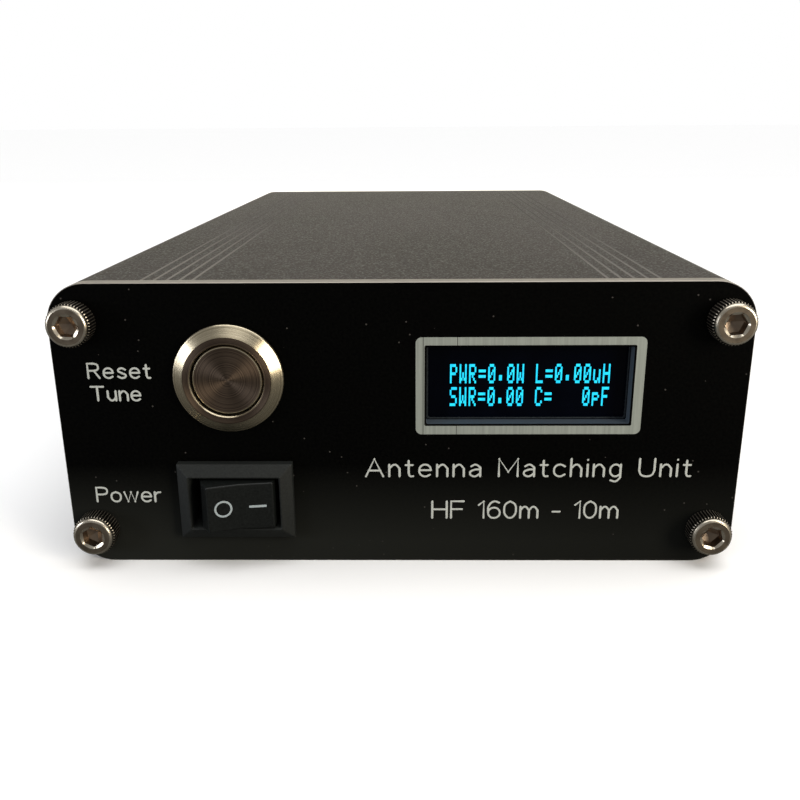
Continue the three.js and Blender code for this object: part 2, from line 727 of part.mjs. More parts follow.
function mainBoard() {
  const half = caseWidth / 2 - caseWall - boardSlotGap;
  const board = part('main_board', box(-half, half, boardFront, boardRear, boardZ, boardTop), 'greenBoard');
  const firstRow = boardFront + rowStart;
  const relayX = caseWidth / 2 - relayFromWall;
  const pieces = [board];
  for (let row = 0; row < relayRows; row += 1) {
    const y = firstRow + row * relayPitch;
    pieces.push(placed(part(`coil_relay_${row + 1}`, relay(), 'relayCase'), -relayX, y));
    pieces.push(placed(part(`capacitor_relay_${row + 1}`, relay(), 'relayCase'), relayX, y));
  }
  for (let i = 0; i < coilCount; i += 1) {
    pieces.push(placed(part(`coil_${i + 1}`, woundCoil(), 'woundCore'), 0, firstRow + i * coilPitch));
  }
  const chipX = coilRadius + chipGap + chipSize.x / 2;
  const lastRow = boardRear - rearMargin;
  const transformerY = lastRow - transformerSize.y / 2;
  const canY = lastRow - regulatorSize.y / 2 - capacitorRadius - chipGap;
  pieces.push(
    placed(part('microcontroller', block(chipSize), 'chipPlastic'), chipX, firstRow + chipSize.y / 2),
    placed(part('relay_driver', block(driverSize), 'chipPlastic'), -chipX, firstRow + driverSize.y / 2),
    placed(part('bridge_transformer', bridgeTransformer(), 'ferrite'), -relayX, transformerY),
    placed(part('voltage_regulator', block(regulatorSize), 'chipPlastic'), 0, lastRow),
    placed(part('supply_capacitor', capacitor(), 'capacitorSleeve'), 0, canY));
  return pieces;
}

// ---- the whole tuner --------------------------------------------------------------------
const tuner = new THREE.Group();
tuner.add(
  ...caseShells(),
  frontPanel(),
  rearPanel(),
  ...screwSet('front_screw', false),
  ...screwSet('rear_screw', true),
  pushButton(),
  rockerSwitch(),
  display(),
  coaxSocket('radio', -coaxX),
  coaxSocket('antenna', coaxX),
  powerSocket(),
  ...mainBoard());

export default tuner;
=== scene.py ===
# %% [markdown]
# # An antenna tuner in an extruded aluminium case
# A small radio accessory: a flat anodised case, a black front panel with a metal push button, a
# rocker power switch and a lit two-line readout, and coax sockets on the rear. The CAD model gives
# the places and joints. This lesson builds the surfaces that are seen: bmesh pieces with the right
# chamfers, knurls and threads, and node materials named for the real finishes.

# %% Load the frame
import math
import re

import bmesh
import bpy
from mathutils import Matrix, Vector


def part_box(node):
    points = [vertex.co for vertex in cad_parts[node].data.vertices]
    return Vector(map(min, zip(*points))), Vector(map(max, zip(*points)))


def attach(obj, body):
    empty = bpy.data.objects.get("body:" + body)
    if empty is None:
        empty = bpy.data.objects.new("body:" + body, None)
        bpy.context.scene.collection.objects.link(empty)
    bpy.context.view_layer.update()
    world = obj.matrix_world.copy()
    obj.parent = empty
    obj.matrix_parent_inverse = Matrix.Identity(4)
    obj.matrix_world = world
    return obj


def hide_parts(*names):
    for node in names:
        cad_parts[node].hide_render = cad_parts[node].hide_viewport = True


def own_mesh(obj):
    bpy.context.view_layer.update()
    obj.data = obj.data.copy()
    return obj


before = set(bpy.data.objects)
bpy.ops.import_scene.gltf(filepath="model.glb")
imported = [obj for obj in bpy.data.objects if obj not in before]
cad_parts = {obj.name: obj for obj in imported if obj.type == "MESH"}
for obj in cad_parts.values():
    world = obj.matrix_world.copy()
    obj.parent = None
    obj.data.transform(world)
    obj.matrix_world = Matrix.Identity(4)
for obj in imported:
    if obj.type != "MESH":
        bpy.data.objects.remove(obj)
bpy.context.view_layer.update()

# %% [markdown]
# ## Measures from the frame
# Blender works in metres and the frame does too. Small sizes are easier to read in millimetres, so
# one constant turns them. The panels' boxes give the two faces that most pieces stand on.

# %% Places
MM = 0.001
panel_low, panel_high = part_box("front_panel")
rear_low, rear_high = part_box("rear_panel")
FRONT = panel_low.y
REAR = rear_high.y
CASE_WIDTH = panel_high.x - panel_low.x
CASE_HEIGHT = panel_high.z
CORNER = 5.2 * MM


def middle(node):
    """The centre of a CAD node's box."""
    low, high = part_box(node)
    return (low + high) / 2


def on_face(node, face):
    """The point of a flat face that lies at a CAD node's centre."""
    centre = middle(node)
    return Vector((centre.x, face, centre.z))


def depths(node, face):
    """Where a CAD node starts and ends, in millimetres along Y from a flat face."""
    low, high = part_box(node)
    return (low.y - face) / MM, (high.y - face) / MM


print("front face", round(FRONT / MM, 2), "mm, rear face", round(REAR / MM, 2), "mm")

# %% [markdown]
# ## Small helpers for materials
# A hex code is how a designer writes a colour, but the shader wants linear light, so one function
# turns it. One more adds a node, sets it up and links it. Most finishes are a fine pattern that
# varies colour, roughness and height together, so that is a function too.


# %% Colour and node helpers
def linear(code):
    """An sRGB hex code such as 'a08060' as linear red, green, blue and a full alpha."""
    parts = [int(code[i:i + 2], 16) / 255 for i in (0, 2, 4)]
    return [c / 12.92 if c <= 0.04045 else ((c + 0.055) / 1.055) ** 2.4 for c in parts] + [1.0]


def add(tree, kind, inputs=None, to=None, stops=(), **settings):
    """Add a node. An input is a value, a socket or a node, to is the socket it feeds, stops fill a ramp."""
    made = tree.nodes.new("ShaderNode" + kind)
    for name, value in settings.items():
        setattr(made, name, value)
    for socket, value in (inputs or {}).items():
        if isinstance(value, bpy.types.Node):
            value = next(output for output in value.outputs if output.enabled)
        if isinstance(value, bpy.types.NodeSocket):
            tree.links.new(value, made.inputs[socket])
        else:
            made.inputs[socket].default_value = value
    for i, (position, code) in enumerate(stops):
        element = made.color_ramp.elements[i] if i < 2 else made.color_ramp.elements.new(position)
        element.position, element.color = position, linear(code)
    if to:
        tree.links.new(next(output for output in made.outputs if output.enabled), to)
    return made


def new_material(name, **constants):
    """A Principled material with its constant values set on the shader's own sockets."""
    material = bpy.data.materials.new(name)
    material.use_nodes = True
    shader = material.node_tree.nodes["Principled BSDF"]
    for socket, value in constants.items():
        shader.inputs[socket.replace("_", " ")].default_value = value
    return material, material.node_tree, shader


def place_on(tree, centre=(0, 0, 0), stretch=(1, 1, 1)):
    """Object coordinates measured from a point, so a pattern can be centred or stretched."""
    coords = add(tree, "TexCoord")
    moved = add(tree, "VectorMath", {0: coords.outputs["Object"], 1: centre}, operation="SUBTRACT")
    return add(tree, "VectorMath", {0: moved, 1: stretch}, operation="MULTIPLY")


def per_mm(size):
    """A texture scale that makes a pattern's features about size millimetres wide."""
    return 1 / (size * MM)


def surface(shader, pattern, stops=(), rough=(), relief=()):
    """Let a pattern vary the colour, the roughness between two values, the height by (strength, mm)."""
    tree = shader.id_data
    if stops:
        add(tree, "ValToRGB", {0: pattern}, shader.inputs["Base Color"], stops=stops)
    if rough:
        add(tree, "MapRange", {0: pattern, 3: rough[0], 4: rough[1]}, shader.inputs["Roughness"])
    if relief:
        add(tree, "Bump", {"Height": pattern, "Strength": relief[0], "Distance": relief[1] * MM},
            shader.inputs["Normal"])


def grained(name, grain_mm, detail, stops, rough=(), relief=(), **constants):
    """A material with one noise of a real size all over it."""
    material, tree, shader = new_material(name, **constants)
    grain = add(tree, "TexNoise", {"Vector": place_on(tree), "Scale": per_mm(grain_mm), "Detail": detail})
    surface(shader, grain, stops, rough, relief)
    return material


# %% [markdown]
# ## Small helpers for meshes
# Turned parts are spun from a half outline, as on a lathe. Flat plates are stacked from outlines
# that are bridged to each other, so that each chamfer is exact and each hole keeps a clean wall.


# %% Show and finish a piece
SHARP = math.radians(12)


def show(name, data):
    """A new object in the scene for a mesh, a curve, a light or a camera."""
    made = bpy.data.objects.new(name, data)
    bpy.context.scene.collection.objects.link(made)
    return made


def finish_piece(bm, name, materials, replaces=(), body="case", weld=0.001):
    """Weld, point the faces outwards, shade by angle and hand the piece to the frame."""
    bmesh.ops.remove_doubles(bm, verts=bm.verts, dist=weld * MM)
    bmesh.ops.recalc_face_normals(bm, faces=bm.faces)
    for face in bm.faces:
        face.smooth = True
    for edge in bm.edges:
        edge.smooth = len(edge.link_faces) == 2 and edge.calc_face_angle(0) < SHARP
    mesh = bpy.data.meshes.new(name)
    bm.to_mesh(mesh)
    bm.free()
    for material in materials:
        mesh.materials.append(material)
    piece = show(name, mesh)
    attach(piece, body)
    if replaces:
        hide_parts(*replaces)
    print(name, len(mesh.polygons), "faces")
    return piece


# %% Spin an outline about the Y axis
def spin(bm, outline, steps, closed=False):
    """Turn (radius, depth) points in millimetres about the Y axis."""
    verts = [bm.verts.new((r * MM, y * MM, 0)) for r, y in outline]
    edges = [bm.edges.new(pair) for pair in zip(verts, verts[1:])]
    if closed:
        edges.append(bm.edges.new((verts[-1], verts[0])))
    bmesh.ops.spin(bm, geom=verts + edges, cent=(0, 0, 0), axis=(0, 1, 0), angle=2 * math.pi,
                   steps=steps, use_merge=True)
    bmesh.ops.remove_doubles(bm, verts=bm.verts, dist=0.0005 * MM)


# %% Move, pull and round
def turn(bm, angle, axis):
    """Turn a mesh about an axis through the origin."""
    bmesh.ops.rotate(bm, verts=bm.verts, cent=(0, 0, 0), matrix=Matrix.Rotation(angle, 3, axis))


def move(bm, place, angle=0.0):
    """Turn a mesh about Z, then carry it to its place."""
    turn(bm, angle, "Z")
    bmesh.ops.translate(bm, verts=bm.verts, vec=place)


def pull(bm, along):
    """Extrude a flat shape along a vector."""
    pulled = bmesh.ops.extrude_face_region(bm, geom=list(bm.faces))
    moved = [item for item in pulled["geom"] if isinstance(item, bmesh.types.BMVert)]
    bmesh.ops.translate(bm, verts=moved, vec=along)


def soften(bm, edges, width, steps=3):
    """Round some edges by a width in millimetres."""
    bmesh.ops.bevel(bm, geom=edges, offset=width * MM, offset_type="OFFSET", segments=steps, profile=0.5,
                    affect="EDGES", material=-1, clamp_overlap=True)


def paint(faces, slot):
    """Give some faces one of their piece's materials."""
    for face in faces:
        face.material_index = slot


# %% Outlines and stacked plates
def arc(centre_x, centre_z, radius, start, end, steps):
    """Points along an arc in the XZ plane, angles in degrees."""
    turns = [math.radians(start + (end - start) * i / steps) for i in range(steps + 1)]
    return [(centre_x + radius * math.cos(a), centre_z + radius * math.sin(a)) for a in turns]


def rounded_rectangle(centre_x, centre_z, width, height, radius, steps):
    """A closed outline with round corners, anticlockwise from the lower right corner."""
    x, z = width / 2 - radius, height / 2 - radius
    corners = [(x, -z, -90), (x, z, 0), (-x, z, 90), (-x, -z, 180)]
    points = []
    for dx, dz, start in corners:
        points += arc(centre_x + dx, centre_z + dz, radius, start, start + 90, steps)
    return points


def add_loop(bm, points, y):
    """A closed loop of edges through the points at one depth."""
    verts = [bm.verts.new((x, y, z)) for x, z in points]
    return [bm.edges.new((verts[i - 1], verts[i])) for i in range(len(verts))]


def plate(bm, outlines, y0, y1, chamfer, wall_material=1):
    """A flat plate from y0 to y1. Each outline is a function of how far it is drawn into the plate."""
    levels = [(y0, chamfer), (y0 + chamfer, 0), (y1 - chamfer, 0), (y1, chamfer)]
    stacks = [[add_loop(bm, outline(inset), y) for y, inset in levels] for outline in outlines]
    for stack in stacks:
        for first, second in zip(stack, stack[1:]):
            paint(bmesh.ops.bridge_loops(bm, edges=first + second)["faces"], wall_material)
    for level, normal in ((0, (0, -1, 0)), (3, (0, 1, 0))):
        edges = [edge for stack in stacks for edge in stack[level]]
        bmesh.ops.triangle_fill(bm, edges=edges, use_beauty=True, normal=normal)


# %% [markdown]
# ## Camera and studio
# The camera stands close to the front panel, a little above the top, and looks slightly down. Near
# things look large from there, which gives the case its strong taper. One wide sun stands for a
# ceiling of soft light and makes the floor white. A tall soft box at the right front puts the
# bright side on the turned metal, a weak one fills in from the left, and a wide low one behind
# gives the case's top its sheen.

# %% Camera
CAMERA_AHEAD = 103.75 * MM
CAMERA_HEIGHT = 56.07 * MM
CAMERA_ASIDE = 1.68 * MM
CAMERA_DOWN = 0.3099
CAMERA_YAW = 0.0164
CAMERA_ROLL = -0.0069
camera_data = bpy.data.cameras.new("camera")
camera_data.sensor_width = 36
camera_data.lens = 38.46
camera_data.clip_start = 0.005
camera = show("camera", camera_data)
aim = Matrix.Rotation(CAMERA_YAW, 4, "Z") @ Matrix.Rotation(math.pi / 2 - CAMERA_DOWN, 4, "X")
aim = aim @ Matrix.Rotation(CAMERA_ROLL, 4, "Z")
camera.matrix_world = Matrix.Translation((CAMERA_ASIDE, FRONT - CAMERA_AHEAD, CAMERA_HEIGHT)) @ aim
bpy.context.scene.camera = camera
bpy.context.scene.view_settings.view_transform = "Standard"
print("camera at", [round(c / MM, 1) for c in camera.matrix_world.translation], "mm")


# %% Lights
def lamp(name, kind, place, target, power, colour, **settings):
    """A light that faces a target point."""
    data = bpy.data.lights.new(name, kind)
    data.energy, data.color = power, linear(colour)[:3]
    for setting, value in settings.items():
        setattr(data, setting, value)
    made = show(name, data)
    made.location = place
    made.rotation_euler = (Vector(target) - Vector(place)).to_track_quat("-Z", "Y").to_euler()


for name, place, target, power, colour, width, height in (
        ("right_box", (0.34, -0.36, 0.15), (-0.02, -0.08, 0.02), 1.6, "fff4e2", 0.16, 0.30),
        ("left_box", (-0.45, -0.30, 0.10), (0, -0.08, 0.02), 0.95, "f2f6ff", 0.2, 0.2),
        ("rear_box", (0, 0.75, 0.11), (0, 0.05, 0.04), 1.0, "fff6dc", 0.9, 0.12)):
    lamp(name, "AREA", place, target, power, colour, shape="RECTANGLE", size=width, size_y=height)
lamp("ceiling", "SUN", (0, 0, 0), (-0.15, 0.02, -1), 2.3, "ffffff", angle=math.radians(70))

# %% World and floor
world = bpy.data.worlds.new("studio")
world.use_nodes = True
bpy.context.scene.world = world
sky_tree = world.node_tree
sky = sky_tree.nodes["Background"]
seen = add(sky_tree, "LightPath").outputs["Is Camera Ray"]
add(sky_tree, "MapRange", {0: seen, 3: 0.3, 4: 1.0}, sky.inputs["Strength"])
sky.inputs["Color"].default_value = linear("ffffff")

# The paper looks white from the camera. It is darker in reflections, or a black panel would mirror
# a white floor and turn grey.
floor_bm = bmesh.new()
bmesh.ops.create_grid(floor_bm, x_segments=1, y_segments=1, size=60)
floor_mesh = bpy.data.meshes.new("floor")
floor_bm.to_mesh(floor_mesh)
floor_bm.free()
floor = show("floor", floor_mesh)
floor_material, floor_tree, floor_shader = new_material("Pale studio paper", Roughness=0.9)
paper = add(floor_tree, "TexNoise", {"Vector": place_on(floor_tree), "Scale": per_mm(3)})
surface(floor_shader, paper, relief=(0.05, 0.05))
direct = add(floor_tree, "LightPath").outputs["Is Camera Ray"]
add(floor_tree, "Mix", {0: direct, 6: linear("585856"), 7: linear("ffffff")},
    floor_shader.inputs["Base Color"], data_type="RGBA")
floor_mesh.materials.append(floor_material)

# %% [markdown]
# ## Case metal
# The case is extruded 6063 aluminium, blasted with fine grit and anodised. The grit leaves a
# sparkle of tiny facets about 0.2 mm wide, drawn 0.3 mm wide so that they show. The dark dye is
# thin, so the metal looks satin grey-brown where light grazes it. Noise at two sizes gives the
# grain and a slow change of tone, and a stretched one the faint lines that the die leaves.


# %% Grit-blasted anodised aluminium
def blasted_aluminium():
    material, tree, shader = new_material(
        "Grit-blasted anodised aluminium", Metallic=0.18, Specular_IOR_Level=0.25)
    grit = add(tree, "TexNoise", {"Vector": place_on(tree, stretch=(1, 0.6, 1)), "Scale": per_mm(0.3),
                                  "Detail": 2.0, "Roughness": 0.7})
    cloud = add(tree, "TexNoise", {"Vector": place_on(tree), "Scale": per_mm(26), "Detail": 1.0})
    lines = add(tree, "TexNoise", {"Vector": place_on(tree, stretch=(1, 0.04, 1)), "Scale": per_mm(0.9),
                                   "Detail": 2.0})
    tone = add(tree, "Mix", {0: 0.1, 2: grit, 3: lines}, data_type="FLOAT")
    speckle = add(tree, "ValToRGB", {0: tone}, stops=[(0.36, "1f1c1a"), (0.5, "2b2725"), (0.64, "47403b")])
    veil = add(tree, "ValToRGB", {0: cloud}, stops=[(0.35, "ffffff"), (0.65, "e4e6dc")])
    add(tree, "Mix", {0: 1.0, 6: speckle, 7: veil}, shader.inputs["Base Color"], data_type="RGBA",
        blend_type="MULTIPLY")
    add(tree, "MapRange", {0: grit, 1: 0.35, 2: 0.65, 3: 0.42, 4: 0.8}, shader.inputs["Roughness"])
    surface(shader, grit, relief=(1.0, 0.08))
    return material


CASE_METAL = blasted_aluminium()


# %% Bare edges
# Where the anodised metal is cut, bare aluminium shows: lighter, with fine tool marks about 0.1 mm apart
# that run along the cut. The groove faces also get a painted highlight: lighter near the front, fading to a
# dark tone rearwards.
def bare_aluminium(name, roughness, **constants):
    material, tree, shader = new_material(name, **constants)
    drawn = place_on(tree, stretch=(0.05, 1, 1))
    marks = add(tree, "TexNoise", {"Vector": drawn, "Scale": per_mm(0.1), "Detail": 1.0})
    surface(shader, marks, rough=(roughness - 0.08, roughness + 0.12), relief=(0.2, 0.01))
    return material, tree, shader


CUT_EDGE = bare_aluminium("Milled bare aluminium", 0.42, Base_Color=linear("958f86"), Metallic=1.0)[0]
WINDOW_WALL = bare_aluminium("Milled window wall", 0.5, Base_Color=linear("4b555f"), Metallic=0.3)[0]
GROOVE_HIGHLIGHT, groove_highlight_tree, groove_highlight_shader = bare_aluminium("Groove metal with painted highlight", 0.6, Metallic=0.2)
# Painted highlight on the groove faces: light at the front end, fading to the dark tone over 80 mm
# rearwards.
along = add(groove_highlight_tree, "SeparateXYZ", {0: place_on(groove_highlight_tree)}).outputs[1]
highlight_fade = add(groove_highlight_tree, "MapRange", {0: along, 1: -80 * MM, 2: 0.0, 3: 1.0, 4: 0.0})
surface(groove_highlight_shader, highlight_fade, [(0.0, "2f2b29"), (1.0, "74706a")])


# %% [markdown]
# ## Front and rear panel finish
# Both panels are 2 mm sheet, brushed flat and anodised black. The black is dense and only faintly glossy. A
# few specks of dust lie on it: a Voronoi pattern gives one point in each cell, and a random choice keeps
# only some of them. Near the bottom, and most towards the left, the black is painted greyer: a painted
# reflection of the bright floor.


# %% Black anodised aluminium
def black_anodised():
    material, tree, shader = new_material("Black anodised aluminium", Specular_IOR_Level=0.04)
    where = place_on(tree)
    grain = add(tree, "TexNoise", {"Vector": where, "Scale": per_mm(0.35), "Detail": 3.0})
    cells = add(tree, "TexVoronoi", {"Vector": where, "Scale": per_mm(1.7)})
    near = add(tree, "Math", {0: cells, 1: 0.065}, operation="LESS_THAN")
    split = add(tree, "SeparateColor", {0: cells.outputs["Color"]})
    kept = add(tree, "Math", {0: split, 1: 0.3}, operation="GREATER_THAN")
    dust = add(tree, "Math", {0: near, 1: kept}, operation="MULTIPLY")
    black = add(tree, "ValToRGB", {0: grain}, stops=[(0.3, "010101"), (0.7, "050504")])
    colour = add(tree, "Mix", {0: dust, 6: black, 7: linear("43403d")}, data_type="RGBA")
    # Painted reflection of the bright floor: the black is greyer near the bottom, most towards the left.
    axes = add(tree, "SeparateXYZ", {0: where})
    down = add(tree, "MapRange", {0: axes.outputs[2], 1: 14 * MM, 2: 3 * MM, 3: 0.0, 4: 1.0})
    aside = add(tree, "MapRange", {0: axes, 1: 30 * MM, 2: -40 * MM, 3: 0.5, 4: 1.0})
    painted_reflection = add(tree, "Math", {0: down, 1: aside}, operation="MULTIPLY")
    add(tree, "Mix", {0: painted_reflection, 6: colour, 7: linear("242522")}, shader.inputs["Base Color"],
        data_type="RGBA")
    surface(shader, grain, rough=(0.33, 0.46), relief=(0.12, 0.01))
    return material


PANEL_BLACK = black_anodised()

# %% [markdown]
# ## Panels
# Each panel is one stack of outlines: the outer one with round corners, and one for each hole. The
# machining leaves the outer edge and the walls of the holes bare, so the wall faces take the bare
# metal and the faces take the black. The window's wall is duller, and its sloping lip is black.

# %% Front panel
EDGE_CHAMFER = 0.09 * MM
button_place = middle("button_body")
rocker_place = middle("rocker_housing")
glass_place = middle("display_glass")
screw_places = [middle(f"front_screw_{i}") for i in (1, 2, 3, 4)]
WINDOW_WIDTH = 26.4 * MM
WINDOW_HEIGHT = 10.56 * MM
WINDOW_LIP = 0.2 * MM
SCREW_HOLE = 1.8 * MM
BUTTON_HOLE = 6.25 * MM
ROCKER_HOLE_WIDTH = 14.0 * MM
ROCKER_HOLE_HEIGHT = 9.4 * MM


def outer_edge(inset):
    return rounded_rectangle(0, CASE_HEIGHT / 2, CASE_WIDTH - 2 * inset, CASE_HEIGHT - 2 * inset,
                             CORNER - inset, 16)


def round_hole(place, radius):
    return lambda inset: arc(place.x, place.z, radius + inset, 0, 360, 32)[:-1]


def opening(place, width, height, corner, steps):
    """An outline of a rectangle that can be grown on all sides."""
    return lambda grown: rounded_rectangle(
        place.x, place.z, width + 2 * grown, height + 2 * grown, corner, steps)


window_outline = opening(glass_place, WINDOW_WIDTH, WINDOW_HEIGHT, 0.2 * MM, 4)
rocker_hole = opening(rocker_place, ROCKER_HOLE_WIDTH, ROCKER_HOLE_HEIGHT, 0.3 * MM, 2)


def window_edge(inset):
    """The window's outline, with a lip wider than the chamfer of the other edges."""
    return window_outline(WINDOW_LIP * (inset / EDGE_CHAMFER - 1))


front_bm = bmesh.new()
holes = [round_hole(place, SCREW_HOLE) for place in screw_places]
holes += [round_hole(button_place, BUTTON_HOLE), rocker_hole, window_edge]
plate(front_bm, [outer_edge, *holes], panel_low.y, panel_high.y, EDGE_CHAMFER)
front_bm.normal_update()
for face in front_bm.faces:
    centre = face.calc_center_median()
    across, up = abs(centre.x - glass_place.x), abs(centre.z - glass_place.z)
    if face.material_index == 1 and across < 0.52 * WINDOW_WIDTH and up < 0.52 * WINDOW_HEIGHT:
        face.material_index = 2 if abs(face.normal.y) < 0.3 else 0
finish_piece(front_bm, "front_panel_plate", [PANEL_BLACK, CUT_EDGE, WINDOW_WALL],
             ["front_panel"])

# %% Rear panel
COAX_HOLE = 8.2 * MM
POWER_HOLE = 5.3 * MM
rear_bm = bmesh.new()
rear_holes = [round_hole(middle(f"rear_screw_{i}"), SCREW_HOLE) for i in (1, 2, 3, 4)]
rear_holes += [round_hole(middle(f"{name}_socket"), COAX_HOLE) for name in ("radio", "antenna")]
rear_holes.append(round_hole(middle("power_socket"), POWER_HOLE))
plate(rear_bm, [outer_edge, *rear_holes], rear_low.y, rear_high.y, EDGE_CHAMFER)
finish_piece(rear_bm, "rear_panel_plate", [PANEL_BLACK, CUT_EDGE], ["rear_panel"])

# %% [markdown]
# ## Case halves
# An extrusion has the same section all along, so each half is one closed outline filled and pulled along Y.
# Five fine grooves run on each side of the top. Their faces take a painted highlight that is lighter near
# the front and fades rearwards. A small step along the seam shows where the two halves hook into each
# other.

# %% Section of a case half
WALL = 1.8 * MM
GROOVE_PITCH = 1.62 * MM
GROOVE_MIDDLE = 29.05 * MM
GROOVE_HALF = 0.2 * MM
GROOVE_DEEP = 0.08 * MM
SEAM_STEP = 0.25 * MM
SEAM_GAP = 0.05 * MM


def half_section(grooved):
    """Points of an upper half's section, from the seam on the right over the top and back inside."""
    half = CASE_WIDTH / 2
    seam = CASE_HEIGHT / 2
    top = CASE_HEIGHT
    inner = CORNER - WALL
    outside = [(half - SEAM_STEP, seam + SEAM_GAP), (half - SEAM_STEP, seam + SEAM_STEP),
               (half, seam + 1.6 * SEAM_STEP)]
    outside += arc(half - CORNER, top - CORNER, CORNER, 0, 90, 16)
    for i in range(5 if grooved else 0):
        x = GROOVE_MIDDLE + (2 - i) * GROOVE_PITCH
        outside += [(x + GROOVE_HALF, top), (x + 0.5 * GROOVE_HALF, top - GROOVE_DEEP)]
        outside += [(x - 0.5 * GROOVE_HALF, top - GROOVE_DEEP), (x - GROOVE_HALF, top)]
    inside = [(half - WALL, seam + SEAM_GAP)]
    inside += arc(half - WALL - inner, top - WALL - inner, inner, 0, 90, 6)
    left = [(-x, z) for x, z in outside[::-1] + inside]
    return outside + left + inside[::-1]


def case_half(name, upside_down, node):
    """Pull a half section along the case, turned over for the lower half."""
    bm = bmesh.new()
    low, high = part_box(node)
    points = half_section(not upside_down)
    if upside_down:
        points = [(x, CASE_HEIGHT - z) for x, z in points]
    edges = add_loop(bm, points, low.y)
    bmesh.ops.triangle_fill(bm, edges=edges, use_beauty=True, normal=(0, -1, 0))
    pull(bm, (0, high.y - low.y, 0))
    bm.normal_update()
    for face in bm.faces:
        centre = face.calc_center_median()
        sunk = CASE_HEIGHT - 1.2 * GROOVE_DEEP < centre.z < CASE_HEIGHT - 0.2 * GROOVE_DEEP
        # The grooves' walls and floors take the painted highlight.
        if sunk and abs(face.normal.y) < 0.1 and abs(centre.x) < CASE_WIDTH / 2 - CORNER:
            face.material_index = 1
    finish_piece(bm, name, [CASE_METAL, GROOVE_HIGHLIGHT], [node])


case_half("upper_case_half", False, "top_shell")
case_half("lower_case_half", True, "bottom_shell")

# %% [markdown]
# ## Screws
# Socket-cap screws are turned from steel, nickel plated and knurled so that fingers can start
# them. The head is spun with four steps for each knurl tooth. Then two of every four columns of
# the band are pushed in, and the wall of the recess is moved from its circle out to a hexagon.
# The rounded edges and chamfers get a bright painted highlight, the knurl's crests a lighter painted
# highlight, and its valleys a near-black painted shade. Each screw was done up by hand, so each hexagon is
# turned differently.


# %% Nickel-plated steel
# Handling leaves clouds about 1.4 mm wide in the shine.
def nickel_plate(name, dull, bright, roughness):
    return grained(name, 1.4, 2.0, [(0.2, dull), (0.6, bright)], (roughness - 0.07, roughness + 0.1),
                   (0.08, 0.01), Metallic=1.0)


# Lit and shaded copies of one nickel plating: the edge and crest finishes are painted highlights, and the
# valley finish is painted shade.
SCREW_FINISHES = [
    nickel_plate("Nickel-plated steel", "776b5d", "8d8171", 0.34),
    nickel_plate("Nickel-plated steel with painted edge highlight", "b5ab99", "cfc6b5", 0.25),
    nickel_plate("Nickel-plated steel with painted crest highlight", "968d7e", "b5ad9e", 0.4),
    nickel_plate("Nickel-plated steel with painted valley shade", "171513", "262320", 0.6),
    nickel_plate("Nickel-plated steel in the recess", "75675a", "8f7f6e", 0.34),
]
PLAIN, EDGE_HIGHLIGHT, CREST_HIGHLIGHT, VALLEY_SHADE, RECESSED = range(len(SCREW_FINISHES))
print("screw finishes", len(SCREW_FINISHES))

# %% Socket-cap screw
TEETH = 44
HEAD_RADIUS = 2.75
HEAD_HEIGHT = 3.0
FACE_RADIUS = 2.22
HEX_APOTHEM = 1.25
HEX_RIM = 1.6
HEX_DEPTH = 1.6
SHANK = 8.0


def screw_finish(reach, depth):
    """The slot for a face at this radius and depth below the head's top, in millimetres."""
    if reach < HEX_RIM:
        return EDGE_HIGHLIGHT if depth < 0.16 else RECESSED
    if depth < 0.01 and reach < FACE_RADIUS:
        return PLAIN
    # Rounded edges and chamfers take the painted edge highlight. The knurl's crests take a painted
    # highlight and its valleys a painted shade.
    if depth < 0.56 or reach < 2.5:
        return EDGE_HIGHLIGHT
    edge = 0.09 if depth < 0.66 else 0.04
    return CREST_HIGHLIGHT if reach > HEAD_RADIUS - edge else VALLEY_SHADE


def cap_screw(name, node, facing_rear, turned):
    """A screw whose head stands on the panel's face, its hexagon turned by some degrees."""
    top = -HEAD_HEIGHT
    outline = [
        (0, top + HEX_DEPTH + 0.45), (HEX_APOTHEM, top + HEX_DEPTH), (HEX_APOTHEM, top + 0.18),
        (HEX_RIM, top), (FACE_RADIUS, top), (2.36, top + 0.04), (2.47, top + 0.12), (2.55, top + 0.24),
        (2.6, top + 0.42), (2.61, top + 0.56), (HEAD_RADIUS, top + 0.68), (HEAD_RADIUS, -0.25),
        (HEAD_RADIUS - 0.1, -0.1), (HEAD_RADIUS - 0.12, -0.04), (1.5, -0.04),
        (1.5, SHANK - 0.4), (1.15, SHANK), (0, SHANK),
    ]
    bm = bmesh.new()
    spin(bm, outline, 4 * TEETH)
    for vert in bm.verts:
        radius = math.hypot(vert.co.x, vert.co.z) / MM
        angle = math.atan2(vert.co.z, vert.co.x)
        depth = vert.co.y / MM
        valley = round(angle * 2 * TEETH / math.pi) % 4 < 2
        if valley and abs(radius - HEAD_RADIUS) < 0.005 and top + 0.6 < depth < -0.2:
            bmesh.ops.scale(bm, verts=[vert], vec=(0.94, 1, 0.94))
        if abs(radius - HEX_APOTHEM) < 0.01 and depth < 0:
            reach = 1 / math.cos((angle + math.pi / 6) % (math.pi / 3) - math.pi / 6)
            bmesh.ops.scale(bm, verts=[vert], vec=(reach, 1, reach))
    for side in bm.faces:
        centre = side.calc_center_median()
        side.material_index = screw_finish(math.hypot(centre.x, centre.z) / MM, centre.y / MM - top)
    turn(bm, -math.radians(turned), "Y")
    move(bm, on_face(node, REAR if facing_rear else FRONT), math.pi if facing_rear else 0.0)
    finish_piece(bm, name, SCREW_FINISHES, [node])


# Left and right hexagons of the upper screws, then of the lower ones, in degrees.
FRONT_TURNS = {True: (27, -24), False: (4, 16)}
for i, corner in enumerate(screw_places, 1):
    turned = FRONT_TURNS[corner.z > CASE_HEIGHT / 2][corner.x > 0]
    cap_screw(f"front_cap_screw_{i}", f"front_screw_{i}", False, turned)
    cap_screw(f"rear_cap_screw_{i}", f"rear_screw_{i}", True, 11 * i)

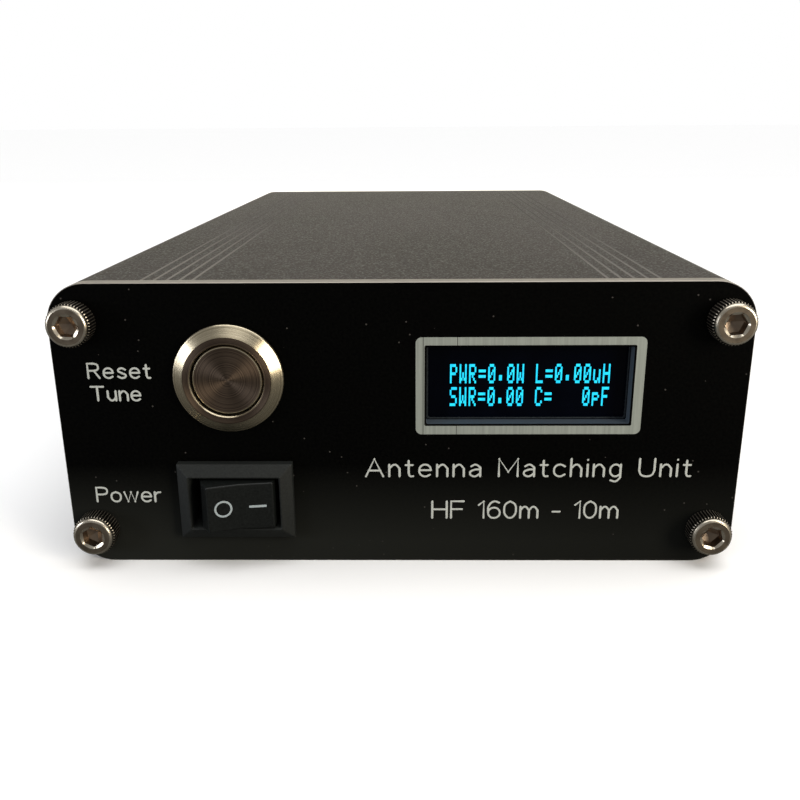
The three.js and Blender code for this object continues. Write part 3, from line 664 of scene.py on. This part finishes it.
# %% [markdown]
# ## Push button
# The flange and the cap are turned on a lathe, and the tool leaves rings that are finer than the
# eye sees one by one. They stretch each highlight into a bright fan across the face. The shader's
# anisotropy does that, with a tangent that runs round the Y axis, and coarser rings that the eye
# can see are drawn 0.2 mm wide on the flange and 0.14 mm on the cap.


# %% Turned metal
def turned_metal(name, dark, light, roughness, anisotropy, ring_mm):
    material, tree, shader = new_material(
        name, Metallic=1.0, Anisotropic=anisotropy, Anisotropic_Rotation=0.25)
    flat = place_on(tree, button_place, (1, 0, 1))
    radius = add(tree, "VectorMath", {0: flat}, operation="LENGTH")
    rings = add(tree, "TexNoise", {"W": radius, "Scale": per_mm(ring_mm), "Detail": 2.0},
                noise_dimensions="1D")
    surface(shader, rings, [(0.3, dark), (0.65, light)], (roughness - 0.06, roughness + 0.08), (0.15, 0.01))
    add(tree, "Tangent", to=shader.inputs["Tangent"], direction_type="RADIAL", axis="Y")
    return material


# The flat faces at the front of the flange and the cap take a dark brown copy of the turned metal: painted
# shade. The cone and the cap's rounded rim keep the lighter colour.
BUTTON_RING = turned_metal("Turned nickel silver", "b0a48a", "c6baa0", 0.25, 0.5, 0.2)
BUTTON_SHADED_FACE = turned_metal("Turned metal with painted shade", "463b33", "6e5f51", 0.5, 0.85, 0.14)

# %% Flange and barrel
RING_FACE, BARREL_END = depths("button_body", FRONT)
THREAD_PITCH = 0.75


def thread(radius, start, end, pitch, depth):
    """Points of a thread's side, one tooth for each pitch, from start to end."""
    count = int(abs(end - start) / pitch)
    step = (end - start) / count
    points = []
    for i in range(count):
        points += [(radius, start + (i + 0.25) * step), (radius - depth, start + (i + 0.75) * step)]
    return points


flange_bm = bmesh.new()
flange = [(4.67, RING_FACE + 0.14), (4.78, RING_FACE), (5.52, RING_FACE), (5.6, RING_FACE + 0.03),
          (6.93, -0.95), (7.0, -0.86), (7.0, -0.42), (6.95, -0.38)]
flange += [(6.0, -0.38)] + thread(5.95, 0.0, BARREL_END, THREAD_PITCH, 0.35)
flange += [(5.5, BARREL_END), (2.4, BARREL_END), (2.4, RING_FACE + 7.5), (4.67, RING_FACE + 7.5)]
spin(flange_bm, flange, 128, closed=True)
# The flange's flat front face takes the painted shade.
paint([f for f in flange_bm.faces if f.calc_center_median().y < (RING_FACE + 0.02) * MM], 1)
move(flange_bm, on_face("button_body", FRONT))
finish_piece(flange_bm, "button_flange", [BUTTON_RING, BUTTON_SHADED_FACE], ["button_body"])

# %% Moving cap
CAP_FACE, CAP_BACK = depths("button_cap", FRONT)
cap_bm = bmesh.new()
cap = [(0, CAP_FACE), (4.22, CAP_FACE), (4.33, CAP_FACE + 0.03), (4.4, CAP_FACE + 0.12),
       (4.4, CAP_FACE + 2.0), (2.1, CAP_FACE + 2.0), (2.1, CAP_BACK), (0, CAP_BACK)]
spin(cap_bm, cap, 128)
# The cap's face keeps the painted shade, and its rounded rim takes the lighter turned metal.
paint([f for f in cap_bm.faces if 4.2 * MM < math.hypot(*f.calc_center_median().xz)
       and f.calc_center_median().y < (CAP_FACE + 0.13) * MM], 1)
move(cap_bm, on_face("button_body", FRONT))
finish_piece(cap_bm, "button_press_cap", [BUTTON_SHADED_FACE, BUTTON_RING], ["button_cap"],
             "push_cap")

# %% [markdown]
# ## Rocker switch
# Both plastic parts are moulded nylon. The frame's four sloping sides meet in mitred corners, so
# a rectangle is pulled through several sizes and depths and its edges are rounded with a bevel.
# The lever's face is two flats that dip towards the middle. It is pulled from its side outline and
# turned about its pivot to the pressed position.


# %% Moulded nylon
# The mould's spark-eroded skin gives a fine, even grain.
def fine_plastic(name, dark, light, roughness, grain_mm=0.22):
    return grained(name, grain_mm, 3.0, [(0.35, dark), (0.75, light)], (roughness - 0.06, roughness + 0.1),
                   (0.25, 0.02), Specular_IOR_Level=0.25)


FRAME_NYLON = fine_plastic("Moulded black nylon", "151716", "222523", 0.6)
LEVER_NYLON = fine_plastic("Smooth black nylon", "0b0d0c", "171a19", 0.36)

# %% Switch frame and housing
# Widths and heights in millimetres.
BEZEL = (15.0, 10.4)
RIDGE = (11.9, 7.3)
CAVITY = (11.5, 6.9)
HOUSING = (13.4, 8.8)


def stack_rectangles(bm, levels):
    """Pull a centred rectangle through each size and depth in turn, and close both ends."""
    (width, height), depth = levels[0]
    x, z = width / 2 * MM, height / 2 * MM
    ring = add_loop(bm, [(x, -z), (x, z), (-x, z), (-x, -z)], depth * MM)
    bmesh.ops.contextual_create(bm, geom=ring)
    for (new_width, new_height), new_depth in levels[1:]:
        pulled = bmesh.ops.extrude_edge_only(bm, edges=ring)["geom"]
        corners = [item for item in pulled if isinstance(item, bmesh.types.BMVert)]
        ring = [item for item in pulled if isinstance(item, bmesh.types.BMEdge)
                and all(vert in corners for vert in item.verts)]
        bmesh.ops.scale(bm, verts=corners, vec=(new_width / width, 1, new_height / height))
        bmesh.ops.translate(bm, verts=corners, vec=(0, (new_depth - depth) * MM, 0))
        width, height, depth = new_width, new_height, new_depth
    bmesh.ops.contextual_create(bm, geom=ring)


housing_bm = bmesh.new()
stack_rectangles(housing_bm, [
    (HOUSING, 12.0), (HOUSING, -0.05), (BEZEL, -0.05), (BEZEL, -1.25), (RIDGE, -2.15),
    (CAVITY, -1.75), (CAVITY, 10.8)])
shown = [e for e in housing_bm.edges if all(v.co.y < -0.5 * MM for v in e.verts)]
soften(housing_bm, shown, 0.16)
move(housing_bm, on_face("rocker_housing", FRONT))
finish_piece(housing_bm, "switch_frame", [FRAME_NYLON], ["rocker_housing"])

# %% Lever
PIVOT = on_face("rocker_housing", FRONT + 1.2 * MM)
LEVER_TILT = math.radians(12.4)
LEVER_HALF = 3.2
lever_side = [
    (-4.24, -4.67), (0, -4.30), (4.24, -4.67), (4.95, -2.6), (5.2, 0), (5.2, 1), (2, 2), (2, 4.4),
    (-2, 4.4), (-2, 2), (-5.2, 1), (-5.2, 0), (-4.95, -2.6)]
lever_bm = bmesh.new()
lever_bm.faces.new([lever_bm.verts.new((x * MM, y * MM, -LEVER_HALF * MM)) for x, y in lever_side])
pull(lever_bm, (0, 0, 2 * LEVER_HALF * MM))
crease = [e for e in lever_bm.edges if all(v.co.y < -2 * MM and abs(v.co.x) > MM for v in e.verts)]
crease += [e for e in lever_bm.edges if abs(e.verts[0].co.x - e.verts[1].co.x) > 3 * MM
           and all(v.co.y < -4 * MM for v in e.verts)]
soften(lever_bm, list(dict.fromkeys(crease)), 0.22)
move(lever_bm, PIVOT, LEVER_TILT)
finish_piece(lever_bm, "switch_lever", [LEVER_NYLON], ["rocker_lever"], "rocker")


# %% [markdown]
# ## Marks on the lever
# The off ring and the on line are printed in thick white ink. Each is a thin raised solid that
# lies on its own half of the face, so it turns with the lever.


# %% White ink
# The film is a little uneven, so its white is broken by faint grey.
def printed_ink(name, colour, roughness):
    return grained(name, 0.15, 2.0, [(0.25, "a4a7a3"), (0.5, colour)], (), (0.1, 0.01), Roughness=roughness)


WHITE_INK = printed_ink("White pad-printing ink", "a4b0b4", 0.6)
FACE_SLOPE = math.atan2(0.37, 4.24)
INK = 0.03
MARK_FROM_MIDDLE = 2.2


def put_on_lever(bm, side_sign):
    """Carry a mark drawn flat about the origin onto one half of the lever's face."""
    rise = MARK_FROM_MIDDLE * math.tan(FACE_SLOPE)
    move(bm, Vector((side_sign * MARK_FROM_MIDDLE, -4.30 - rise, 0)) * MM, -side_sign * FACE_SLOPE)
    move(bm, PIVOT, LEVER_TILT)


off_bm = bmesh.new()
spin(off_bm, [(0.9, -INK), (1.14, -INK), (1.16, INK), (0.88, INK)], 64, closed=True)
put_on_lever(off_bm, -1)
finish_piece(off_bm, "off_ring_mark", [WHITE_INK], body="rocker")

on_bm = bmesh.new()
bmesh.ops.create_cube(on_bm, size=MM, matrix=Matrix.Diagonal((2.25, 2 * INK, 0.3, 1)))
soften(on_bm, [e for e in on_bm.edges if abs(e.verts[0].co.y - e.verts[1].co.y) > INK * MM], 0.08)
put_on_lever(on_bm, 1)
finish_piece(on_bm, "on_line_mark", [WHITE_INK], body="rocker")

# %% [markdown]
# ## Readout
# The display is a dark glass behind the window. The letters are the usual five by seven dot ones,
# with a slash through each zero, and each dot is drawn two dots tall, which is how a small
# controller doubles the height of its built-in letters. Lit neighbours in a row glow as one, so
# each run of dots is one thin box.

# %% Display glass
glass_low, glass_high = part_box("display_glass")
smoked_glass = grained("Smoked display glass", 3, 4.0, [(0.3, "010208"), (0.7, "02040c")], (0.08, 0.22),
                       Specular_IOR_Level=0.06)
glass_bm = bmesh.new()
bmesh.ops.create_cube(glass_bm, size=1, matrix=Matrix.Diagonal((*(glass_high - glass_low), 1)))
soften(glass_bm, list(glass_bm.edges), 0.1, 2)
move(glass_bm, glass_place)
finish_piece(glass_bm, "readout_glass", [smoked_glass], ["display_glass"])

# %% Border printed on the glass
border_material = fine_plastic("Grey printed border", "1c2023", "2e3438", 0.4, 0.3)


def border_edge(margin):
    outline = opening(glass_place, WINDOW_WIDTH, WINDOW_HEIGHT, 0.3 * MM, 3)
    return lambda inset: outline(-margin - inset)


border_bm = bmesh.new()
plate(border_bm, [border_edge(0.25 * MM), border_edge(0.45 * MM)], glass_low.y - 0.02 * MM,
      glass_low.y - 0.002 * MM, 0.002 * MM, 0)
finish_piece(border_bm, "glass_border", [border_material])

# %% Lit dots
DOT_LETTERS = {
    "P": "####. #...# #...# ####. #.... #.... #....",
    "W": "#...# #...# #...# #.#.# #.#.# ##.## #...#",
    "R": "####. #...# #...# ####. #.#.. #..#. #...#",
    "S": ".#### #.... #.... .###. ....# ....# ####.",
    "L": "#.... #.... #.... #.... #.... #.... #####",
    "C": ".###. #...# #.... #.... #.... #...# .###.",
    "H": "#...# #...# #...# ##### #...# #...# #...#",
    "F": "##### #.... #.... ####. #.... #.... #....",
    "u": "..... ..... #...# #...# #...# #..## .##.#",
    "p": "..... ..... ####. #...# ####. #.... #....",
    "0": ".###. #...# #..## #.#.# ##..# #...# .###.",
    "=": "..... ..... ##### ..... ##### ..... .....",
    ".": "..... ..... ..... ..... .##.. .##.. .....",
    " ": "..... " * 7,
}
DOT_WIDE = 0.175
DOT_TALL = 0.183
LETTER_STEP = 7
glow, glow_tree, glow_shader = new_material(
    "Lit cyan display dots", Base_Color=linear("04181c"), Roughness=0.4, Emission_Strength=1.25)
flicker = add(glow_tree, "TexNoise", {"Vector": place_on(glow_tree), "Scale": per_mm(0.4)})
add(glow_tree, "ValToRGB", {0: flicker}, glow_shader.inputs["Emission Color"],
    stops=[(0.3, "12c6f6"), (0.6, "22e0ff")])

# %% Dots in runs
RUN_SPREAD = 0.18
DOT_THICK = 0.012 * MM
dots_bm = bmesh.new()
for text, left, top in (("PWR=0.0W L=0.00uH", 6.42, 27.0), ("SWR=0.00 C=   0pF", 6.42, 23.92)):
    for place, letter in enumerate(text):
        for row, line in enumerate(DOT_LETTERS[letter].split()):
            for run in re.finditer("#+", line):
                x = left + (place * LETTER_STEP + (run.start() + run.end()) / 2) * DOT_WIDE
                z = top - (2 * row + 1) * DOT_TALL
                width = (run.end() - run.start() + RUN_SPREAD) * DOT_WIDE
                shape = Matrix.Diagonal((width * MM, DOT_THICK, 1.97 * DOT_TALL * MM, 1))
                lie = Matrix.Translation((x * MM, glass_low.y - DOT_THICK, z * MM))
                bmesh.ops.create_cube(dots_bm, size=1, matrix=lie @ shape)
finish_piece(dots_bm, "readout_dots", [glow], weld=0.0001)

# %% [markdown]
# ## Light frame round the window
# A laser has taken the black off in a band round the window. The beam goes back and forth in fine
# lines, so the band is pale with a close upright hatch. It missed two lines near the left end.

# %% Etched band
etched, etched_tree, etched_shader = new_material("Laser-etched aluminium", Metallic=0.35, Roughness=0.6)
hatch = add(etched_tree, "TexNoise", {"Vector": place_on(etched_tree, stretch=(1, 1, 0.03)),
                                      "Scale": per_mm(0.3), "Detail": 3.0})
pale = add(etched_tree, "ValToRGB", {0: hatch}, stops=[(0.3, "91978f"), (0.7, "a3a9a1")])
across = add(etched_tree, "SeparateXYZ", {0: place_on(etched_tree)})
near_lines = [add(etched_tree, "Math", {0: across, 1: line * MM, 2: 0.05 * MM}, operation="COMPARE")
              for line in (2.92, 7.2)]
missed = add(etched_tree, "Math", dict(enumerate(near_lines)))
add(etched_tree, "Mix", {0: missed, 6: pale, 7: linear("4a4b47")}, etched_shader.inputs["Base Color"],
    data_type="RGBA")
surface(etched_shader, hatch, relief=(0.15, 0.01))


band_outline = opening(Vector((16.38, 0, 24.61)) * MM, 28.8 * MM, 12.84 * MM, 0.75 * MM, 5)
band_bm = bmesh.new()
plate(band_bm, [lambda inset: band_outline(-inset), lambda inset: window_outline(0.05 * MM + inset)],
      FRONT - 0.02 * MM, FRONT - 0.001 * MM, 0.002 * MM, 0)
finish_piece(band_bm, "window_band", [etched])

# %% [markdown]
# ## Lettering
# The labels are engraved with a round tool, one stroke wide. A stroke font does the same: every
# letter is a few pen paths on a grid ten units high. Straight paths get corners, smooth paths get
# automatic handles. A thin bevel gives the stroke its width, and a flattened ball rounds each end.
# The wording is generic.

# %% Pen paths
BOWL = "L 0,0 0,10 3.2,10|S 3.2,10 5.1,9.3 5.7,7.6 5.1,5.8 3.2,5.1|"
PEN_PATHS = {
    "A": "L 0,0 3.7,10 7.4,0|L 1.2,3.4 6.2,3.4",
    "F": "L 0,0 0,10 5.6,10|L 0,5.3 4.8,5.3",
    "H": "L 0,0 0,10|L 6.4,0 6.4,10|L 0,5.2 6.4,5.2",
    "M": "L 0,0 0,10 4,2.5 8,10 8,0",
    "P": BOWL + "L 3.2,5.1 0,5.1",
    "R": BOWL + "L 0,5.1 3.2,5.1 6,0",
    "T": "L 0,10 7,10|L 3.5,10 3.5,0",
    "U": "L 0,10 0,3.2|S 0,3.2 0.9,0.9 3.2,0 5.5,0.9 6.4,3.2|L 6.4,3.2 6.4,10",
    "a": "S 0.5,5.8 2.4,6.8 4.4,5.1|L 4.4,5.1 4.4,0|S 4.4,4 1.8,3.8 0,2 1.7,0 4.4,1.7",
    "c": "S 4.6,5.7 2.6,6.8 0.6,5.7 0,3.4 0.6,1.1 2.6,0 4.6,1.1",
    "e": "L 0,3.6 5,3.6|S 5,3.6 4.4,5.7 2.5,6.8 0.6,5.7 0,3.4 0.6,1.1 2.6,0 4.6,1",
    "g": "S 4.4,5.4 2.4,6.8 0.6,5.7 0,3.4 0.6,1.1 2.4,0 4.4,1.4|L 4.4,6.8 4.4,-0.8|"
         "S 4.4,-0.8 2.6,-2.9 0.4,-2.3",
    "h": "L 0,10 0,0|S 0,4.6 2.4,6.8 4.4,4.6|L 4.4,4.6 4.4,0",
    "i": "L 0,6.8 0,0|L 0,9.4 0,9.5",
    "m": "L 0,6.8 0,0|S 0,4.6 2,6.8 3.8,4.6|L 3.8,4.6 3.8,0|S 3.8,4.6 5.8,6.8 7.6,4.6|L 7.6,4.6 7.6,0",
    "n": "L 0,6.8 0,0|S 0,4.6 2.4,6.8 4.4,4.6|L 4.4,4.6 4.4,0",
    "o": "S 2.5,6.8 0.6,5.7 0,3.4 0.6,1.1 2.5,0 4.4,1.1 5,3.4 4.4,5.7 2.5,6.8",
    "r": "L 0,6.8 0,0|S 0,4.4 1.2,6.3 3,6.7",
    "s": "S 4.2,5.8 2.2,6.8 0.4,5.2 2.2,3.5 4.3,1.7 2.2,0 0.1,1.1",
    "t": "L 1.3,9 1.3,1.6|S 1.3,1.6 1.9,0.2 3.2,0.1|L 0,6.5 3,6.5",
    "u": "L 0,6.8 0,2.2|S 0,2.2 2,0 4.4,2.2|L 4.4,6.8 4.4,0",
    "w": "L 0,6.8 1.8,0 3.6,6.8 5.4,0 7.2,6.8",
    "0": "S 2.6,10 0.6,8.3 0,5 0.6,1.7 2.6,0 4.6,1.7 5.2,5 4.6,8.3 2.6,10",
    "1": "L 0,7.8 2.2,10 2.2,0",
    "6": "S 4.8,9.2 2.8,10 0.6,8 0,3.8 0.8,0.9 2.6,0 4.6,1 5.2,3.2 4.4,5.4 2.6,6.2 0.7,5.2 0,3.4",
    "-": "L 0,3.8 3.2,3.8",
}
STROKE = 0.29 * MM
WIDEN = 1.25
WORD_SPACE = 3.4
LETTER_INK = printed_ink("Grey filled engraving", "c0c4be", 0.65)


def pen_path_points(letter):
    """The letter's paths as (smooth, points)."""
    for path in PEN_PATHS[letter].split("|"):
        kind, *pairs = path.split()
        places = [pair.split(",") for pair in pairs]
        yield kind == "S", [(float(x) * WIDEN, float(z)) for x, z in places]


def letter_width(letter):
    """How wide a letter is on its grid."""
    if letter == " ":
        return WORD_SPACE
    return max(x for _, points in pen_path_points(letter) for x, _ in points)


def engrave(name, text, left, right, baseline, cap_height):
    """Write a line of text on the front face between two places, given in millimetres."""
    unit = cap_height / 10
    gap = ((right - left) / unit - sum(map(letter_width, text))) / (len(text) - 1)
    curve = bpy.data.curves.new(name, "CURVE")
    curve.dimensions = "3D"
    curve.bevel_depth = STROKE / 2
    curve.bevel_resolution = 1
    curve.use_fill_caps = True
    curve.resolution_u = 5
    ends = []
    pen = left / unit
    for letter in text:
        for smooth, points in pen_path_points(letter) if letter != " " else ():
            spline = curve.splines.new("BEZIER")
            spline.bezier_points.add(len(points) - 1)
            places = [Vector((pen + x, 0, baseline / unit + z)) * unit * MM for x, z in points]
            ends += places if not smooth else [places[0], places[-1]]
            for knot, place in zip(spline.bezier_points, places):
                knot.co = place
                knot.handle_left_type = knot.handle_right_type = "AUTO" if smooth else "VECTOR"
        pen += letter_width(letter) + gap
    drawn = show(name + "_pen", curve)
    bm = bmesh.new()
    bm.from_mesh(bpy.data.meshes.new_from_object(
        drawn.evaluated_get(bpy.context.evaluated_depsgraph_get())))
    bpy.data.objects.remove(drawn)
    for end in ends:
        bmesh.ops.create_icosphere(bm, subdivisions=1, radius=STROKE / 2, matrix=Matrix.Translation(end))
    bmesh.ops.scale(bm, verts=bm.verts, vec=(1, 0.12, 1))
    bmesh.ops.translate(bm, verts=bm.verts, vec=(0, FRONT, 0))
    finish_piece(bm, name, [LETTER_INK], weld=0.0001)


engrave("label_reset", "Reset", -39.6, -31.7, 25.84, 1.9)
engrave("label_tune", "Tune", -39.5, -33.2, 22.84, 1.85)
engrave("label_power", "Power", -40.4, -31.9, 8.72, 2.0)
engrave("label_title", "Antenna Matching Unit", -4.56, 37.8, 12.31, 2.45)
engrave("label_bands", "HF 160m - 10m", 4.16, 28.7, 6.34, 2.4)

# %% [markdown]
# ## Rear sockets
# The two coax sockets have a coarse thread, a rim with four notches and a white insulator sunk in
# the bore. The power inlet is black plastic with a pin in the middle. All face the rear, so each
# outline is drawn with its depth growing away from the panel.

# %% Coax sockets
COAX_NICKEL = nickel_plate("Bright nickel plating", "b4afa3", "cfcabf", 0.24)
PTFE = fine_plastic("White fluoropolymer", "d9d8d2", "eeede8", 0.5)
BRASS = nickel_plate("Machined brass", "a9833c", "c9a14e", 0.3)
COAX_PITCH = 1.06
NOTCH_DEEP = 0.7 * MM
NOTCH_HALF = 0.07


def rear_lathe(name, outline, node, material, steps=96, notches=0):
    """Spin an outline of (radius, height above the rear panel) and stand it on the panel."""
    bm = bmesh.new()
    spin(bm, outline, steps, closed=outline[0][0] > 0)
    rim = max(height for _, height in outline) * MM
    for vert in bm.verts:
        turns = math.atan2(vert.co.z, vert.co.x) / (2 * math.pi) * max(notches, 1)
        if notches and rim - vert.co.y < 0.01 * MM and abs(turns - round(turns)) < NOTCH_HALF:
            vert.co.y -= NOTCH_DEEP
    move(bm, on_face(node, REAR))
    finish_piece(bm, name, [material], [node])


for side_name in ("radio", "antenna"):
    socket = f"{side_name}_socket"
    inner_end, rim_height = depths(socket, REAR)
    shape = [(6.3, rim_height), (7.45, rim_height), (7.9, rim_height - 0.5)]
    shape += thread(7.9, rim_height - 0.6, 3.4, COAX_PITCH, 0.6)
    shape += [(7.3, 2.55), (9.8, 2.55), (10.0, 2.35), (10.0, 0.05), (7.9, 0.05), (7.9, inner_end)]
    shape += [(6.3, inner_end)]
    rear_lathe(f"{side_name}_coax_shell", shape, socket, COAX_NICKEL, notches=4)
    back, face = depths(f"{socket}_insulator", REAR)
    disc = [(2.9, face), (3.4, face - 0.15), (5.7, face - 0.15), (6.2, face), (6.2, back), (2.9, back)]
    rear_lathe(f"{side_name}_coax_insulator", disc, f"{socket}_insulator", PTFE, 64)
    tail, tip = depths(f"{socket}_contact", REAR)
    tube = [(0, tip - 5.5), (1.9, tip - 5.5), (2.0, tip - 0.3), (2.25, tip), (2.7, tip),
            (2.8, tip - 0.12), (2.8, tail), (0, tail)]
    rear_lathe(f"{side_name}_coax_contact", tube, f"{socket}_contact", BRASS, 48)

# %% Power inlet
INLET_PLASTIC = fine_plastic("Glossy black plastic", "101211", "1c1e1d", 0.32)
inlet_end, inlet_face = depths("power_socket", REAR)
rear_lathe("power_inlet", [
    (3.0, inlet_face - 0.25), (3.25, inlet_face), (5.9, inlet_face), (6.3, inlet_face - 0.15),
    (6.5, inlet_face - 0.6), (6.5, 0.05), (5.0, 0.05), (5.0, inlet_end), (1.2, inlet_end),
    (1.2, inlet_face - 9.9), (3.0, inlet_face - 9.9)],
    "power_socket", INLET_PLASTIC, 72)

# %% [markdown]
# ## Parts that keep their CAD shape
# The circuit board and its parts, the nuts and the inner parts of the switches are taken from the
# CAD model as they are. Each slot gets a finish named for what it is made of. Drawn wire shines
# with fine marks, rubber is dull, ferrite and epoxy are matt and stony, and a sleeve shrunk by heat
# is faintly rippled.


# %% Finishes inside the case
def fine_finish(name, dark, light, roughness, grain_mm, **constants):
    return grained(name, grain_mm, 3.0, [(0.3, dark), (0.7, light)], (roughness - 0.08, roughness + 0.1),
                   (0.2, 0.02), **constants)


# A wave texture draws about three waves where its scale says one.
WAVES = 3.1


def woven_laminate(name, dark, light):
    """Glass cloth shows through the lacquer as a faint check about 0.5 mm wide."""
    material, tree, shader = new_material(name, Roughness=0.35)
    where = place_on(tree)
    across, along = [
        add(tree, "TexWave", {"Vector": where, "Scale": per_mm(0.5) / WAVES}, bands_direction=axis)
        for axis in "XY"]
    weave = add(tree, "Math", {0: across, 1: along}, operation="MULTIPLY")
    surface(shader, weave, [(0.1, dark), (0.9, light)], relief=(0.1, 0.02))
    return material


def wound_wire(name, dark, light):
    """Turns of enamelled wire lie side by side, about 0.7 mm apart."""
    material, tree, shader = new_material(name, Metallic=0.8, Roughness=0.3)
    turns = add(tree, "TexWave", {"Vector": place_on(tree), "Scale": per_mm(0.7) / WAVES,
                                  "Distortion": 1.0}, bands_direction="DIAGONAL")
    surface(shader, turns, [(0.1, dark), (0.6, light)], relief=(0.5, 0.1))
    return material


FINISHES = {
    "spring_steel": fine_finish("Drawn spring steel", "8a8a88", "b5b5b2", 0.3, 0.4, Metallic=1.0),
    "gasket_rubber": fine_finish("Black rubber", "121212", "1d1d1d", 0.75, 0.3),
    "nickel_plate": COAX_NICKEL,
    "brass_contact": BRASS,
    "black_plastic": INLET_PLASTIC,
    "rocker_plastic": FRAME_NYLON,
    "display_laminate": woven_laminate("Blue glass-epoxy laminate", "12305c", "1a4078"),
    "board_laminate": woven_laminate("Green glass-epoxy laminate", "14502c", "1d6a3c"),
    "white_insulator": PTFE,
    "relay_case": fine_finish("White relay case plastic", "d4d4cc", "e6e6df", 0.45, 0.5),
    "wound_core": wound_wire("Enamelled copper wire", "6e2f14", "c26a38"),
    "ferrite_core": fine_finish("Grey ferrite", "3a3a3c", "4c4c4e", 0.6, 0.3),
    "chip_plastic": fine_finish("Black moulding epoxy", "161618", "222224", 0.55, 0.2),
    "capacitor_sleeve": fine_finish("Shrunk black sleeve", "16181f", "20232b", 0.4, 0.8),
}
kept = set()
for name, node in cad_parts.items():
    for part_slot in node.material_slots:
        finish = part_slot.material.name.split(".")[0]
        if finish in FINISHES:
            part_slot.material = FINISHES[finish]
            kept.add(finish)
        elif not node.hide_render:
            print("no finish for", name, finish)
print("finishes on CAD parts", sorted(kept))

# %% [markdown]
# ## Return spring
# A coil of wire pushes the cap back out. A ring of edges is spun about the Y axis and carried along it a
# little at each step, which winds the coil. The coil can't slide with the cap, because its back end stays
# on its seat.

# %% Return spring
WIRE_RADIUS = 0.25
SPRING_TURNS = 3.5
spring_low, spring_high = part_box("button_spring")
spring_length = spring_high.y - spring_low.y
coil_radius = (spring_high.x - spring_low.x) / 2 - WIRE_RADIUS * MM
spring_steps = int(28 * SPRING_TURNS)
climb = (spring_length - 2 * WIRE_RADIUS * MM) / spring_steps
spring_bm = bmesh.new()
bmesh.ops.create_circle(spring_bm, segments=10, radius=WIRE_RADIUS * MM,
                        matrix=Matrix.Translation((coil_radius, WIRE_RADIUS * MM, 0)))
bmesh.ops.spin(spring_bm, geom=[*spring_bm.verts, *spring_bm.edges], cent=(0, 0, 0), axis=(0, 1, 0),
               dvec=(0, climb, 0), angle=2 * math.pi * SPRING_TURNS, steps=spring_steps)
bmesh.ops.holes_fill(spring_bm, edges=[edge for edge in spring_bm.edges if edge.is_boundary])
move(spring_bm, on_face("button_body", spring_low.y))
return_spring = finish_piece(spring_bm, "return_spring", [FINISHES["spring_steel"]],
                             ["button_spring"])
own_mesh(return_spring)
print("spring", round(spring_length / MM, 2), "mm long")
